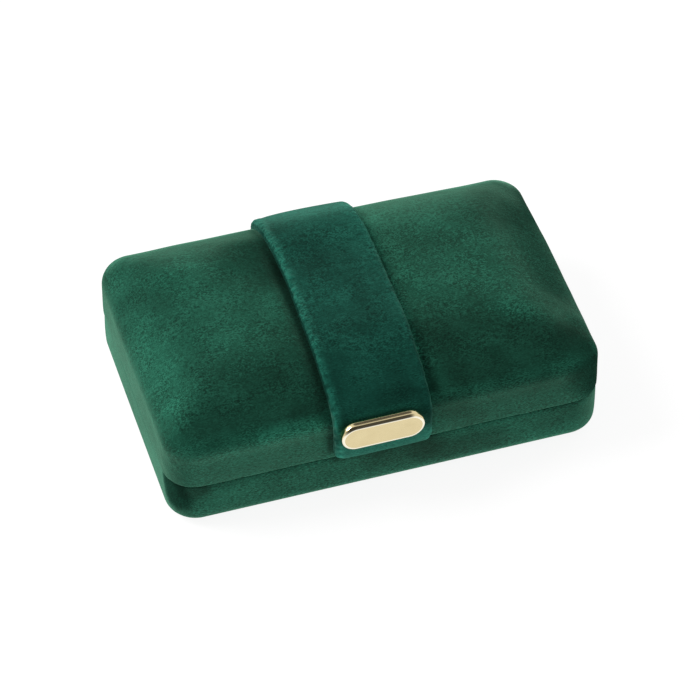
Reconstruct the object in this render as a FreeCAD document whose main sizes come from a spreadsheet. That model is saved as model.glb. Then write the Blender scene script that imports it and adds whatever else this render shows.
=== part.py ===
# Velvet ring box: a low rectangular box with a softly domed lid on two pinned
# hinges, a strap over the lid with a liftable front tip and a metal bar on it,
# and a bed of ring rolls inside.  Millimetres, +Z up, origin at the middle of
# the underside, front of the box towards -Y.
import FreeCAD, Part
import Sketcher
import math
import os

V = FreeCAD.Vector
doc = FreeCAD.newDocument("ring_box")

# ---------------------------------------------------------------- dimensions
sheet = doc.addObject("Spreadsheet::Sheet", "dims")
DIMS = [
    # overall box
    ("box_width", 150.0), ("box_depth", 96.0), ("corner_round", 11.0),
    ("base_inset", 0.5), ("rim_low", 18.4), ("rim_high", 18.8),
    ("lid_crown", 47.0),
    # lid profile across the depth and along the width: three tangent arcs
    ("crown_arc_y", 537.0), ("shoulder_arc_y", 43.8), ("shoulder_mid_y", 16.7),
    ("crown_arc_x", 2200.0), ("shoulder_arc_x", 38.5), ("shoulder_mid_x", 46.0),
    ("edge_arc", 6.0),
    # the same profile across the two diagonals, which softens the four corners
    ("crown_arc_c", 3838.0), ("shoulder_back_c", 31.25),
    # layers
    ("velvet", 1.0), ("glue", 0.15), ("padding", 1.35), ("lid_wall", 1.95),
    ("lining", 0.85), ("base_wall", 2.45), ("floor_wall", 2.0),
    ("bottom_round", 5.0), ("wrap_lift", 0.3), ("sheet_inset", 6.0),
    ("board", 1.5),
    # ring bed
    ("roll_width", 12.0), ("roll_pitch", 14.4), ("roll_top", 18.0),
    ("roll_long", 138.6), ("roll_short", 133.2), ("sleeve", 1.0),
    # lid pad
    ("pad_width", 116.0), ("pad_depth", 54.0), ("pad_round", 8.0),
    ("pad_low", 32.0), ("pad_thick", 4.8), ("pad_edge", 2.0),
    # hinges
    ("hinge_x", 45.0), ("hinge_width", 24.0), ("hinge_y", 48.2),
    ("hinge_z", 18.6), ("barrel_r", 1.6), ("bore_r", 0.8), ("pin_play", 0.03),
    ("knuckle_half", 3.9), ("knuckle_gap", 0.2), ("leaf", 0.7),
    ("leaf_y", 45.5), ("leaf_drop", 9.6), ("rivet_r", 0.9), ("rivet_play", 0.05),
    ("rivet_dx", 7.0), ("rivet_dz", 6.4),
    # strap and flap
    ("strap_width", 33.6), ("strap_shift", 3.3), ("strap_thick", 3.1),
    ("flap_gap", 0.3), ("strap_skin", 1.0), ("strap_back", 0.7),
    ("strap_hem", 1.2), ("core_play", 0.1), ("flap_angle", 30.0),
    ("root_gap_angle", 2.4), ("hem_angle", 1.6), ("tip_low", 19.5),
    ("tip_round", 3.5), ("tip_hem", 1.8), ("tail_low", 19.1),
    # metal bar on the flap
    ("bar_length", 28.4), ("bar_height", 10.4), ("bar_thick", 3.0),
    ("bar_z", 32.4), ("bar_shift", 1.2), ("bar_bevel", 0.7), ("bar_seat", 0.05),
    ("stud_r", 0.9), ("stud_dx", 8.0), ("stud_long", 2.1), ("stud_play", 0.06),
    ("nut_r", 2.0), ("nut_thick", 0.5),
    # magnets and keeper
    ("magnet_length", 12.0), ("magnet_z", 22.3), ("magnet_height", 6.5),
    ("keeper_thick", 0.9), ("rim_magnet_x", 40.0), ("rim_magnet_length", 20.0),
    ("rim_magnet_height", 3.9), ("base_magnet_thick", 1.5),
    ("lid_magnet_thick", 1.25), ("slot_play", 0.05),
]
for row, (alias, number) in enumerate(DIMS, 1):
    sheet.set("A%d" % row, alias)
    sheet.set("B%d" % row, repr(number))
    sheet.setAlias("B%d" % row, alias)
doc.recompute()


class Size:
    """A length that keeps its number and the sheet formula it comes from."""

    def __init__(self, value, formula):
        self.value = float(value)
        self.formula = formula

    def __add__(self, other):
        other = as_size(other)
        return Size(self.value + other.value, "(%s + %s)" % (self.formula, other.formula))

    def __radd__(self, other):
        return as_size(other) + self

    def __sub__(self, other):
        other = as_size(other)
        return Size(self.value - other.value, "(%s - %s)" % (self.formula, other.formula))

    def __rsub__(self, other):
        return as_size(other) - self

    def __mul__(self, number):
        return Size(self.value * number, "(%s * %r)" % (self.formula, number))

    __rmul__ = __mul__

    def __neg__(self):
        return self * -1


def as_size(x):
    return x if isinstance(x, Size) else Size(x, "%r" % float(x))


def dim(alias):
    return Size(float(sheet.get(alias)), "dims." + alias)


# ------------------------------------------------------------------- helpers
def bind(obj, prop, size):
    obj.setExpression(prop, as_size(size).formula)


def plane_of(body, role):
    for feature in body.Origin.OriginFeatures:
        if feature.Role == role:
            return feature
    raise RuntimeError("no plane " + role)


def new_sketch(body, name, role, lift=None):
    sk = body.newObject("Sketcher::SketchObject", name)
    sk.AttachmentSupport = [(plane_of(body, role), "")]
    sk.MapMode = "FlatFace"
    if lift is not None:
        bind(sk, "AttachmentOffset.Base.z", lift)
    return sk


def datum(sk, kind, args, size, name):
    index = sk.addConstraint(Sketcher.Constraint(kind, *args, as_size(size).value))
    sk.renameConstraint(index, name)
    sk.setExpression("Constraints." + name, as_size(size).formula)


def tangent(sk, a, b):
    sk.addConstraint(Sketcher.Constraint("Tangent", a, 2, b, 1))


def arc(cx, cy, r, a0, a1):
    return Part.ArcOfCircle(Part.Circle(V(cx, cy, 0), V(0, 0, 1), r), a0, a1)


def line(x0, y0, x1, y1):
    return Part.LineSegment(V(x0, y0, 0), V(x1, y1, 0))


def rounded_rect(sk, half_w, half_d, rad):
    w, d, r = as_size(half_w).value, as_size(half_d).value, as_size(rad).value
    q = math.pi / 2
    sk.addGeometry(line(-w + r, -d, w - r, -d))
    sk.addGeometry(arc(w - r, -d + r, r, -q, 0))
    sk.addGeometry(line(w, -d + r, w, d - r))
    sk.addGeometry(arc(w - r, d - r, r, 0, q))
    sk.addGeometry(line(w - r, d, -w + r, d))
    sk.addGeometry(arc(-w + r, d - r, r, q, 2 * q))
    sk.addGeometry(line(-w, d - r, -w, -d + r))
    sk.addGeometry(arc(-w + r, -d + r, r, 2 * q, 3 * q))
    for k in range(8):
        tangent(sk, k, (k + 1) % 8)
    for k in (0, 4):
        sk.addConstraint(Sketcher.Constraint("Horizontal", k))
    for k in (2, 6):
        sk.addConstraint(Sketcher.Constraint("Vertical", k))
    for k in (3, 5, 7):
        sk.addConstraint(Sketcher.Constraint("Equal", 1, k))
    datum(sk, "Radius", (1,), rad, "corner")
    datum(sk, "DistanceX", (-1, 1, 2, 1), half_w, "right")
    datum(sk, "DistanceX", (6, 1, -1, 1), half_w, "left")
    datum(sk, "DistanceY", (-1, 1, 4, 1), half_d, "back")
    datum(sk, "DistanceY", (0, 1, -1, 1), half_d, "front")


def dome_section(sk, half, floor, crown, rc, rs, re, mid):
    """Closed section: flat floor, upright walls, edge, shoulder and crown arcs."""
    h, z0, top = as_size(half).value, as_size(floor).value, as_size(crown).value
    c, s, e, m = (as_size(x).value for x in (rc, rs, re, mid))
    sz = top - c + math.sqrt((c - s) ** 2 - m ** 2)
    ez = sz + math.sqrt((s - e) ** 2 - (h - e - m) ** 2)
    a1 = math.asin(m / (c - s))
    a2 = math.asin((h - e - m) / (s - e))
    q = math.pi / 2
    sk.addGeometry(line(-h, z0, h, z0))
    sk.addGeometry(line(h, z0, h, ez))
    sk.addGeometry(arc(h - e, ez, e, 0, q - a2))
    sk.addGeometry(arc(m, sz, s, q - a2, q - a1))
    sk.addGeometry(arc(0, top - c, c, q - a1, q + a1))
    sk.addGeometry(arc(-m, sz, s, q + a1, q + a2))
    sk.addGeometry(arc(-h + e, ez, e, q + a2, 2 * q))
    sk.addGeometry(line(-h, ez, -h, z0))
    sk.addConstraint(Sketcher.Constraint("Coincident", 0, 2, 1, 1))
    for k in range(1, 7):
        tangent(sk, k, k + 1)
    sk.addConstraint(Sketcher.Constraint("Coincident", 7, 2, 0, 1))
    sk.addConstraint(Sketcher.Constraint("Horizontal", 0))
    sk.addConstraint(Sketcher.Constraint("Vertical", 1))
    sk.addConstraint(Sketcher.Constraint("Vertical", 7))
    sk.addConstraint(Sketcher.Constraint("Equal", 3, 5))
    sk.addConstraint(Sketcher.Constraint("Equal", 2, 6))
    sk.addConstraint(Sketcher.Constraint("PointOnObject", 4, 3, -2))
    datum(sk, "Radius", (4,), rc, "crown_r")
    datum(sk, "Radius", (3,), rs, "shoulder_r")
    datum(sk, "Radius", (2,), re, "edge_r")
    datum(sk, "DistanceY", (4, 3, -1, 1), as_size(rc) - crown, "crown_mid")
    datum(sk, "DistanceX", (-1, 1, 3, 3), mid, "shoulder_right")
    datum(sk, "DistanceX", (5, 3, -1, 1), mid, "shoulder_left")
    datum(sk, "DistanceX", (-1, 1, 1, 1), half, "wall_right")
    datum(sk, "DistanceX", (7, 2, -1, 1), half, "wall_left")
    datum(sk, "DistanceY", (-1, 1, 0, 1), floor, "floor")


def new_body(name):
    return doc.addObject("PartDesign::Body", name)


def pad(body, sk, length, both=False, back=False):
    feature = body.newObject("PartDesign::Pad", sk.Name + "_pad")
    feature.Profile = sk
    feature.SideType = "Symmetric" if both else "One side"
    feature.Reversed = back
    bind(feature, "Length", length)
    return feature


def tray_block(name, half_w, half_d, rad, z0, z1, bottom_round=None):
    body = new_body(name)
    sk = new_sketch(body, name + "_plan", "XY_Plane", z0)
    rounded_rect(sk, half_w, half_d, rad)
    p = pad(body, sk, as_size(z1) - z0)
    if bottom_round is not None:
        doc.recompute()
        low = as_size(z0).value
        edges = ["Edge%d" % (i + 1) for i, e in enumerate(p.Shape.Edges)
                 if abs(e.BoundBox.ZMin - low) < 1e-6 and abs(e.BoundBox.ZMax - low) < 1e-6]
        fillet = body.newObject("PartDesign::Fillet", name + "_round")
        fillet.Base = (p, edges)
        bind(fillet, "Radius", bottom_round)
    return body


def depth_prism(name, inset, floor, width, shift=None):
    """The lid's front-to-back section run along the width."""
    body = new_body(name)
    sk = new_sketch(body, name + "_section", "YZ_Plane", shift)
    dome_section(sk, dim("box_depth") * 0.5 - inset, floor, dim("lid_crown") - inset,
                 dim("crown_arc_y") - inset, dim("shoulder_arc_y") - inset,
                 dim("edge_arc") - inset, dim("shoulder_mid_y"))
    pad(body, sk, width, both=True)
    return body


def width_prism(name, inset, floor, depth):
    """The lid's left-to-right section run along the depth."""
    body = new_body(name)
    sk = new_sketch(body, name + "_section", "XZ_Plane")
    dome_section(sk, dim("box_width") * 0.5 - inset, floor, dim("lid_crown") - inset,
                 dim("crown_arc_x") - inset, dim("shoulder_arc_x") - inset,
                 dim("edge_arc") - inset, dim("shoulder_mid_x"))
    pad(body, sk, depth, both=True)
    return body


def corner_prism(name, inset, floor, turn):
    """The lid's section across a diagonal, turned to cut two opposite corners."""
    body = new_body(name)
    sk = new_sketch(body, name + "_section", "XZ_Plane")
    r = dim("corner_round")
    half = (dim("box_width") * 0.5 - r + dim("box_depth") * 0.5 - r) * math.sqrt(0.5) + r
    dome_section(sk, half - inset, floor, dim("lid_crown") - inset,
                 dim("crown_arc_c") - inset, dim("shoulder_arc_y") - inset,
                 dim("edge_arc") - inset, half - dim("shoulder_back_c"))
    pad(body, sk, dim("box_width") + dim("box_depth"), both=True)
    body.Placement = FreeCAD.Placement(V(0, 0, 0), FreeCAD.Rotation(V(0, 0, 1), turn))
    return body


def boolean(kind, name, base, tool):
    obj = doc.addObject("Part::" + kind, name)
    obj.Base = base
    obj.Tool = tool
    return obj


def cut(name, base, *tools):
    for k, tool in enumerate(tools):
        last = k == len(tools) - 1
        base = boolean("Cut", name if last else "%s_cut%d" % (name, k), base, tool)
    return base


def fuse(name, base, *tools):
    for k, tool in enumerate(tools):
        last = k == len(tools) - 1
        base = boolean("Fuse", name if last else "%s_join%d" % (name, k), base, tool)
    return base


def common(name, a, b):
    return boolean("Common", name, a, b)


def group(name, items):
    obj = doc.addObject("Part::Compound", name)
    obj.Links = items
    return obj


def block(name, x0, x1, y0, y1, z0, z1):
    obj = doc.addObject("Part::Box", name)
    bind(obj, "Length", as_size(x1) - x0)
    bind(obj, "Width", as_size(y1) - y0)
    bind(obj, "Height", as_size(z1) - z0)
    bind(obj, "Placement.Base.x", x0)
    bind(obj, "Placement.Base.y", y0)
    bind(obj, "Placement.Base.z", z0)
    return obj


def rod(name, r, length, x, y, z, along):
    """A round bar starting at the point and running along +X or +Y."""
    obj = doc.addObject("Part::Cylinder", name)
    axis, angle = {"X": (V(0, 1, 0), 90), "Y": (V(1, 0, 0), -90)}[along]
    obj.Placement = FreeCAD.Placement(V(0, 0, 0), FreeCAD.Rotation(axis, angle))
    bind(obj, "Radius", r)
    bind(obj, "Height", length)
    bind(obj, "Placement.Base.x", x)
    bind(obj, "Placement.Base.y", y)
    bind(obj, "Placement.Base.z", z)
    return obj


NODES = {}


def node(label, obj):
    obj.Label = label
    NODES[label] = obj
    return obj


# -------------------------------------------------------- derived dimensions
half_w = dim("box_width") * 0.5
half_d = dim("box_depth") * 0.5
base_w = half_w - dim("base_inset")
base_d = half_d - dim("base_inset")
base_r = dim("corner_round") - dim("base_inset")
velvet, glue = dim("velvet"), dim("glue")

# insets of the lid's layers from its outer surface
pad_out = velvet + glue
pad_in = pad_out + dim("padding")
lid_out = pad_in + glue
lid_in = lid_out + dim("lid_wall")
lid_lin_out = lid_in + glue
lid_lin_in = lid_lin_out + dim("lining")
# insets of the base's layers from its outer surface
shell_out = velvet + glue
shell_in = shell_out + dim("base_wall")
lin_out = shell_in + glue
lin_in = lin_out + dim("lining")


def lid_block(name, inset, floor):
    """The domed lid as a full solid, inset all round by one layer offset."""
    inset = as_size(inset)
    a = depth_prism(name + "_depth", inset, floor, dim("box_width") + 4)
    b = width_prism(name + "_width", inset, floor, dim("box_depth") + 4)
    plan = tray_block(name + "_plan", half_w - inset, half_d - inset,
                      dim("corner_round") - inset, floor, dim("lid_crown") + 2)
    c = corner_prism(name + "_corner_a", inset, floor, 45)
    d = corner_prism(name + "_corner_b", inset, floor, -45)
    solid = common(name + "_cross", a, b)
    solid = common(name + "_plan_cut", solid, plan)
    solid = common(name + "_corners", solid, c)
    return common(name, solid, d)


def base_block(name, inset, z0, z1, bottom_round=None):
    inset = as_size(inset)
    return tray_block(name, base_w - inset, base_d - inset, base_r - inset, z0, z1, bottom_round)


# --------------------------------------------------------------- hinge cutters
leaf_y = dim("leaf_y")
leaf_y2 = leaf_y + dim("leaf")
hz, hy = dim("hinge_z"), dim("hinge_y")
SIDES = (("left", -1), ("right", 1))


def hinge_box(name, side, half, y0, y1, z0, z1):
    mid = dim("hinge_x") * side
    return block(name, mid - half, mid + half, y0, y1, z0, z1)


half_hinge = dim("hinge_width") * 0.5
notches, base_pockets, lid_windows, base_rivet_holes, lid_rivet_holes = [], [], [], [], []
for tag, side in SIDES:
    notches.append(hinge_box("notch_" + tag, side, half_hinge + 0.5, leaf_y - 0.2, hy + 4,
                             hz - 2.0, hz + 2.0))
    base_pockets.append(hinge_box("base_pocket_" + tag, side, half_hinge + 0.2, leaf_y - 0.15,
                                  leaf_y + 3, hz - dim("leaf_drop") - 0.2, hz))
    lid_windows.append(hinge_box("lid_window_" + tag, side, half_hinge + 0.2, leaf_y - 0.3,
                                 leaf_y + 3, hz, hz + dim("leaf_drop") + 0.2))
    for k in (-1, 1):
        x = dim("hinge_x") * side + dim("rivet_dx") * k
        r = dim("rivet_r") + dim("rivet_play")
        base_rivet_holes.append(rod("base_rivet_hole_%s%d" % (tag, k + 1), r, 8, x, leaf_y - 4,
                                    hz - dim("rivet_dz"), "Y"))
        lid_rivet_holes.append(rod("lid_rivet_hole_%s%d" % (tag, k + 1), r, 8, x, leaf_y - 4,
                                   hz + dim("rivet_dz"), "Y"))

# ------------------------------------------------------------------- the base
sheet_w = base_w - dim("sheet_inset")
sheet_d = base_d - dim("sheet_inset")
sheet_r = base_r - dim("sheet_inset")
bottom_sheet = tray_block("bottom_sheet", sheet_w, sheet_d, sheet_r, 0, velvet)
node("base_bottom_sheet", bottom_sheet)

wrap_outer = base_block("wrap_outer", 0, dim("wrap_lift"), dim("rim_low"), dim("bottom_round"))
wrap_inner = base_block("wrap_inner", velvet, velvet, dim("rim_low") - velvet,
                        dim("bottom_round") - dim("wrap_lift") * 2)
wrap_mouth = base_block("wrap_mouth", shell_in, 10, dim("rim_low") + 2)
wrap_window = tray_block("wrap_window", sheet_w + 0.2, sheet_d + 0.2, sheet_r + 0.2, -1, 4)
node("base_cover", cut("base_cover", wrap_outer, wrap_inner, wrap_mouth, wrap_window, *notches))

shell_floor = velvet + dim("floor_wall")
shell_top = dim("rim_low") - velvet - glue
shell_body = base_block("shell_body", shell_out, velvet, shell_top,
                        dim("bottom_round") - 0.5)
shell_room = base_block("shell_room", shell_in, shell_floor, dim("rim_low") + 2)
rim_magnet_slots = []
rim_magnets_base, rim_magnets_lid = [], []
mag_y = -(base_d - shell_out - dim("base_wall") * 0.5)
mag_x, mag_l = dim("rim_magnet_x"), dim("rim_magnet_length") * 0.5
play = dim("slot_play")
for tag, side in SIDES:
    mid = mag_x * side
    t = dim("base_magnet_thick") * 0.5
    top = shell_top - 0.2
    rim_magnet_slots.append(block("base_magnet_slot_" + tag, mid - mag_l - play, mid + mag_l + play,
                                  mag_y - t - play, mag_y + t + play,
                                  top - dim("rim_magnet_height") - play, shell_top + 1))
    rim_magnets_base.append(block("base_magnet_" + tag, mid - mag_l, mid + mag_l, mag_y - t, mag_y + t,
                                  top - dim("rim_magnet_height"), top))
node("base_shell", cut("base_shell", shell_body, shell_room, *(base_pockets + notches
                       + base_rivet_holes + rim_magnet_slots)))
node("base_rim_magnets", group("base_rim_magnets", rim_magnets_base))

board_z = shell_floor + glue
board_top = board_z + dim("board")
node("base_floor_board", base_block("floor_board", lin_out, board_z, board_top))
lining_out = base_block("lining_out", lin_out, board_top + 0.05, dim("rim_low"))
lining_room = base_block("lining_room", lin_in, board_top - 1, dim("rim_low") + 2)
node("base_lining", cut("base_lining", lining_out, lining_room))


# -------------------------------------------------------------- the ring rolls
def roll_block(name, y, width, z0, z1, length):
    """A bolster: flat underside, upright sides and a half-round top."""
    body = new_body(name)
    sk = new_sketch(body, name + "_section", "YZ_Plane")
    w, low, top = as_size(width).value / 2, as_size(z0).value, as_size(z1).value
    sk.addGeometry(line(-w, low, w, low))
    sk.addGeometry(line(w, low, w, top - w))
    sk.addGeometry(arc(0, top - w, w, 0, math.pi))
    sk.addGeometry(line(-w, top - w, -w, low))
    sk.addConstraint(Sketcher.Constraint("Coincident", 0, 2, 1, 1))
    tangent(sk, 1, 2)
    tangent(sk, 2, 3)
    sk.addConstraint(Sketcher.Constraint("Coincident", 3, 2, 0, 1))
    sk.addConstraint(Sketcher.Constraint("Horizontal", 0))
    sk.addConstraint(Sketcher.Constraint("Vertical", 1))
    sk.addConstraint(Sketcher.Constraint("Vertical", 3))
    sk.addConstraint(Sketcher.Constraint("PointOnObject", 2, 3, -2))
    datum(sk, "Radius", (2,), as_size(width) * 0.5, "top_r")
    datum(sk, "DistanceY", (-1, 1, 0, 1), z0, "low")
    datum(sk, "DistanceY", (-1, 1, 2, 3), as_size(z1) - as_size(width) * 0.5, "spring")
    pad(body, sk, length, both=True)
    bind(body, "Placement.Base.y", y)
    return body


sleeve = dim("sleeve")
for k in range(6):
    y = dim("roll_pitch") * (k - 2.5)
    length = dim("roll_short") if k in (0, 5) else dim("roll_long")
    low = board_top + 0.1
    tag = "roll%d" % (k + 1)
    outer = roll_block(tag + "_outer", y, dim("roll_width"), low, dim("roll_top"), length)
    inner = roll_block(tag + "_inner", y, dim("roll_width") - sleeve * 2, low + sleeve,
                       dim("roll_top") - sleeve, length - sleeve * 2)
    core = roll_block(tag + "_core", y, dim("roll_width") - sleeve * 2 - 0.2, low + sleeve + 0.1,
                      dim("roll_top") - sleeve - 0.1, length - sleeve * 2 - 0.2)
    node("ring_roll_%d" % (k + 1), cut(tag, outer, inner))
    node("ring_roll_foam_%d" % (k + 1), core)

# --------------------------------------------------------------------- the lid
lid_low = dim("rim_high")
flange_top = lid_low + velvet
hard_low = flange_top + glue
under = lid_low - 4

s_outer = lid_block("lid_outer", 0, lid_low)
s_velvet = lid_block("lid_under_velvet", velvet, flange_top)
lid_mouth = tray_block("lid_mouth", half_w - lid_in, half_d - lid_in,
                       dim("corner_round") - lid_in, under, flange_top + 1)
node("lid_cover", cut("lid_cover", s_outer, s_velvet, lid_mouth, *notches))

strap_mid = -dim("strap_shift")
mag_half = dim("magnet_length") * 0.5
keeper_half = mag_half + 2.5
keeper_y1 = -(half_d - velvet - glue)
keeper_y0 = keeper_y1 + dim("keeper_thick")
keeper_window = block("keeper_window", strap_mid - keeper_half - 0.2, strap_mid + keeper_half + 0.2,
                      -(half_d), -(half_d - lid_out), dim("magnet_z") - 0.7,
                      dim("magnet_z") + dim("magnet_height") + 0.7)
s_pad_out = lid_block("lid_pad_out", pad_out, hard_low)
s_pad_in = lid_block("lid_pad_in", pad_in, under)
node("lid_padding", cut("lid_padding", s_pad_out, s_pad_in, keeper_window, *lid_windows))
node("flap_keeper", block("keeper", strap_mid - keeper_half, strap_mid + keeper_half,
                          keeper_y1, keeper_y0, dim("magnet_z") - 0.5,
                          dim("magnet_z") + dim("magnet_height") + 0.5))

s_shell_out = lid_block("lid_shell_out", lid_out, hard_low)
s_shell_in = lid_block("lid_shell_in", lid_in, under)
lid_mag_y = -(half_d - lid_out - dim("lid_wall") * 0.5)
lid_slots = []
for tag, side in SIDES:
    mid = mag_x * side
    t = dim("lid_magnet_thick") * 0.5
    low = hard_low + 0.2
    lid_slots.append(block("lid_magnet_slot_" + tag, mid - mag_l - play, mid + mag_l + play,
                           lid_mag_y - t - play, lid_mag_y + t + play, hard_low - 1,
                           low + dim("rim_magnet_height") + play))
    rim_magnets_lid.append(block("lid_magnet_" + tag, mid - mag_l, mid + mag_l, lid_mag_y - t,
                                 lid_mag_y + t, low, low + dim("rim_magnet_height")))
node("lid_shell", cut("lid_shell", s_shell_out, s_shell_in, *(notches + lid_rivet_holes + lid_slots)))
node("lid_rim_magnets", group("lid_rim_magnets", rim_magnets_lid))

s_lin_out = lid_block("lid_lin_out", lid_lin_out, lid_low)
s_lin_in = lid_block("lid_lin_in", lid_lin_in, under)
node("lid_lining", cut("lid_lining", s_lin_out, s_lin_in))

pad_top = dim("pad_low") + dim("pad_thick")
pad_half_w, pad_half_d = dim("pad_width") * 0.5, dim("pad_depth") * 0.5
node("lid_pad", tray_block("lid_pad_body", pad_half_w, pad_half_d, dim("pad_round"),
                           dim("pad_low"), pad_top, dim("pad_edge")))
s_pad_bed = lid_block("lid_pad_bed", lid_lin_in + 0.1, under)
pad_prism = tray_block("lid_pad_prism", pad_half_w - 1, pad_half_d - 1, dim("pad_round") - 1,
                       pad_top + 0.1, dim("lid_crown") + 2)
node("lid_pad_foam", common("lid_pad_foam", pad_prism, s_pad_bed))

# -------------------------------------------------------------------- the hinges
barrel, bore = dim("barrel_r"), dim("bore_r")
kh, kg = dim("knuckle_half"), dim("knuckle_gap")
base_rivets, lid_rivets = [], []
for n, (tag, side) in enumerate(SIDES):
    mid = dim("hinge_x") * side
    x0, x1 = mid - half_hinge, mid + half_hinge
    bore_rod = rod("bore_" + tag, bore, dim("hinge_width") + 4, x0 - 2, hy, hz, "X")
    # base leaf: plate on the back of the base, two outer knuckles
    plate = block("base_plate_" + tag, x0, x1, leaf_y, leaf_y2, hz - dim("leaf_drop"), hz - 0.9)
    arms = []
    for k, (a, b) in enumerate(((x0, mid - kh - kg), (mid + kh + kg, x1))):
        arms.append(block("base_arm_%s%d" % (tag, k), a, b, leaf_y, hy, hz - barrel,
                          hz - barrel + dim("leaf")))
        arms.append(rod("base_knuckle_%s%d" % (tag, k), barrel, b - a, a, hy, hz, "X"))
    leaf = fuse("base_leaf_raw_" + tag, plate, *arms)
    node("hinge_%s_base_leaf" % tag, cut("base_leaf_" + tag, leaf, bore_rod,
                                         *base_rivet_holes[2 * n:2 * n + 2]))
    # lid leaf: plate on the back of the lid, one middle knuckle
    plate = block("lid_plate_" + tag, x0, x1, leaf_y, leaf_y2, hz + 0.9, hz + dim("leaf_drop"))
    arm = block("lid_arm_" + tag, mid - kh, mid + kh, leaf_y, hy, hz + barrel - dim("leaf"), hz + barrel)
    knuckle = rod("lid_knuckle_" + tag, barrel, kh * 2, mid - kh, hy, hz, "X")
    leaf = fuse("lid_leaf_raw_" + tag, plate, arm, knuckle)
    node("hinge_%s_lid_leaf" % tag, cut("lid_leaf_" + tag, leaf, bore_rod,
                                        *lid_rivet_holes[2 * n:2 * n + 2]))
    node("hinge_%s_pin" % tag, rod("pin_" + tag, bore - dim("pin_play"), dim("hinge_width"),
                                   x0, hy, hz, "X"))
    for k in (-1, 1):
        x = mid + dim("rivet_dx") * k
        base_rivets.append(rod("base_rivet_%s%d" % (tag, k + 1), dim("rivet_r"),
                               leaf_y2 - (base_d - shell_in), x, base_d - shell_in,
                               hz - dim("rivet_dz"), "Y"))
        lid_rivets.append(rod("lid_rivet_%s%d" % (tag, k + 1), dim("rivet_r"),
                              leaf_y2 - (half_d - lid_in), x, half_d - lid_in,
                              hz + dim("rivet_dz"), "Y"))
node("hinge_base_rivets", group("hinge_base_rivets", base_rivets))
node("hinge_lid_rivets", group("hinge_lid_rivets", lid_rivets))

# ---------------------------------------------------------- the strap and flap
# The strap follows the lid's front-to-back section at a fixed distance.  It is
# split on a radial plane through the middle of the front shoulder arc.
crown_y, shoulder_y = dim("crown_arc_y").value, dim("shoulder_arc_y").value
mid_y = dim("shoulder_mid_y").value
shoulder_z = dim("lid_crown").value - crown_y + math.sqrt((crown_y - shoulder_y) ** 2 - mid_y ** 2)


def wedge(name, degrees, front):
    """A half space in front of (or behind) the radial plane at this slope."""
    a = math.radians(degrees)
    out = V(0, -math.sin(a), math.cos(a))
    down = V(0, -math.cos(a), -math.sin(a))
    obj = doc.addObject("Part::Box", name)
    obj.Length, obj.Width, obj.Height = 120, 220, 240
    foot = V(-60, -mid_y, shoulder_z) + out * 120
    if not front:
        foot = foot - down * 220
    obj.Placement = FreeCAD.Placement(foot, FreeCAD.Rotation(V(1, 0, 0), 180 + degrees))
    return obj


def band(name, inner, outer, width, low):
    """A strip of the lid's section between two distances outside its surface."""
    a = depth_prism(name + "_a", -as_size(outer), low, width, strap_mid)
    b = depth_prism(name + "_b", -as_size(inner), as_size(low) - 6, as_size(width) + 2, strap_mid)
    return cut(name, a, b)


t = dim("strap_thick")
angle = dim("flap_angle").value
skin, backing, hem = dim("strap_skin"), dim("strap_back"), dim("strap_hem")
cp = dim("core_play")

# fixed part: from the flap's root over the crown and down the back of the lid
fixed_angle = angle - dim("root_gap_angle").value
hem_angle = dim("hem_angle").value
strap_full = common("strap_full", band("strap_band", glue, glue + t, dim("strap_width"), dim("tail_low")),
                    wedge("strap_side", fixed_angle, False))
room_in, room_out = glue + backing, glue + t - skin
strap_room = common("strap_room", band("strap_room_band", room_in, room_out,
                                       dim("strap_width") - hem * 2, dim("tail_low") + hem),
                    wedge("strap_room_side", fixed_angle - hem_angle, False))
node("strap_cover", cut("strap_cover", strap_full, strap_room))
node("strap_core", common("strap_core", band("strap_core_band", room_in + cp, room_out - cp,
                                             dim("strap_width") - hem * 2 - cp * 2,
                                             dim("tail_low") + hem + cp),
                          wedge("strap_core_side", fixed_angle - hem_angle - 0.3, False)))

# flap: from its half-round root over the front shoulder down to the tip
gap = dim("flap_gap")
flap_band = common("flap_front", band("flap_band", gap, gap + t, dim("strap_width"), dim("tip_low")),
                   wedge("flap_side", angle, True))
a = math.radians(angle)
root = doc.addObject("Part::Cylinder", "flap_root")
root.Angle = 180
bind(root, "Radius", t * 0.5)
bind(root, "Height", dim("strap_width"))
reach = shoulder_y + gap.value + t.value / 2
root_at = V(strap_mid.value - dim("strap_width").value / 2,
            -mid_y - reach * math.sin(a), shoulder_z + reach * math.cos(a))
root.Placement = FreeCAD.Placement(root_at, FreeCAD.Rotation(
    V(0, math.sin(a), -math.cos(a)), V(0, math.cos(a), math.sin(a)), V(1, 0, 0), "ZXY"))
flap_raw = fuse("flap_raw", flap_band, root)
tip_body = new_body("flap_outline")
tip_sketch = new_sketch(tip_body, "flap_outline_plan", "XZ_Plane")
bind(tip_sketch, "AttachmentOffset.Base.x", strap_mid)
bind(tip_sketch, "AttachmentOffset.Base.y", dim("tip_low") + 25)
rounded_rect(tip_sketch, dim("strap_width") * 0.5, 25, dim("tip_round"))
pad(tip_body, tip_sketch, 200, both=True)
flap_full = common("flap_full", flap_raw, tip_body)
room_in, room_out = gap + backing, gap + t - skin
flap_room = common("flap_room", band("flap_room_band", room_in, room_out,
                                     dim("strap_width") - hem * 2, dim("tip_low") + dim("tip_hem")),
                   wedge("flap_room_side", angle + hem_angle, True))

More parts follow.
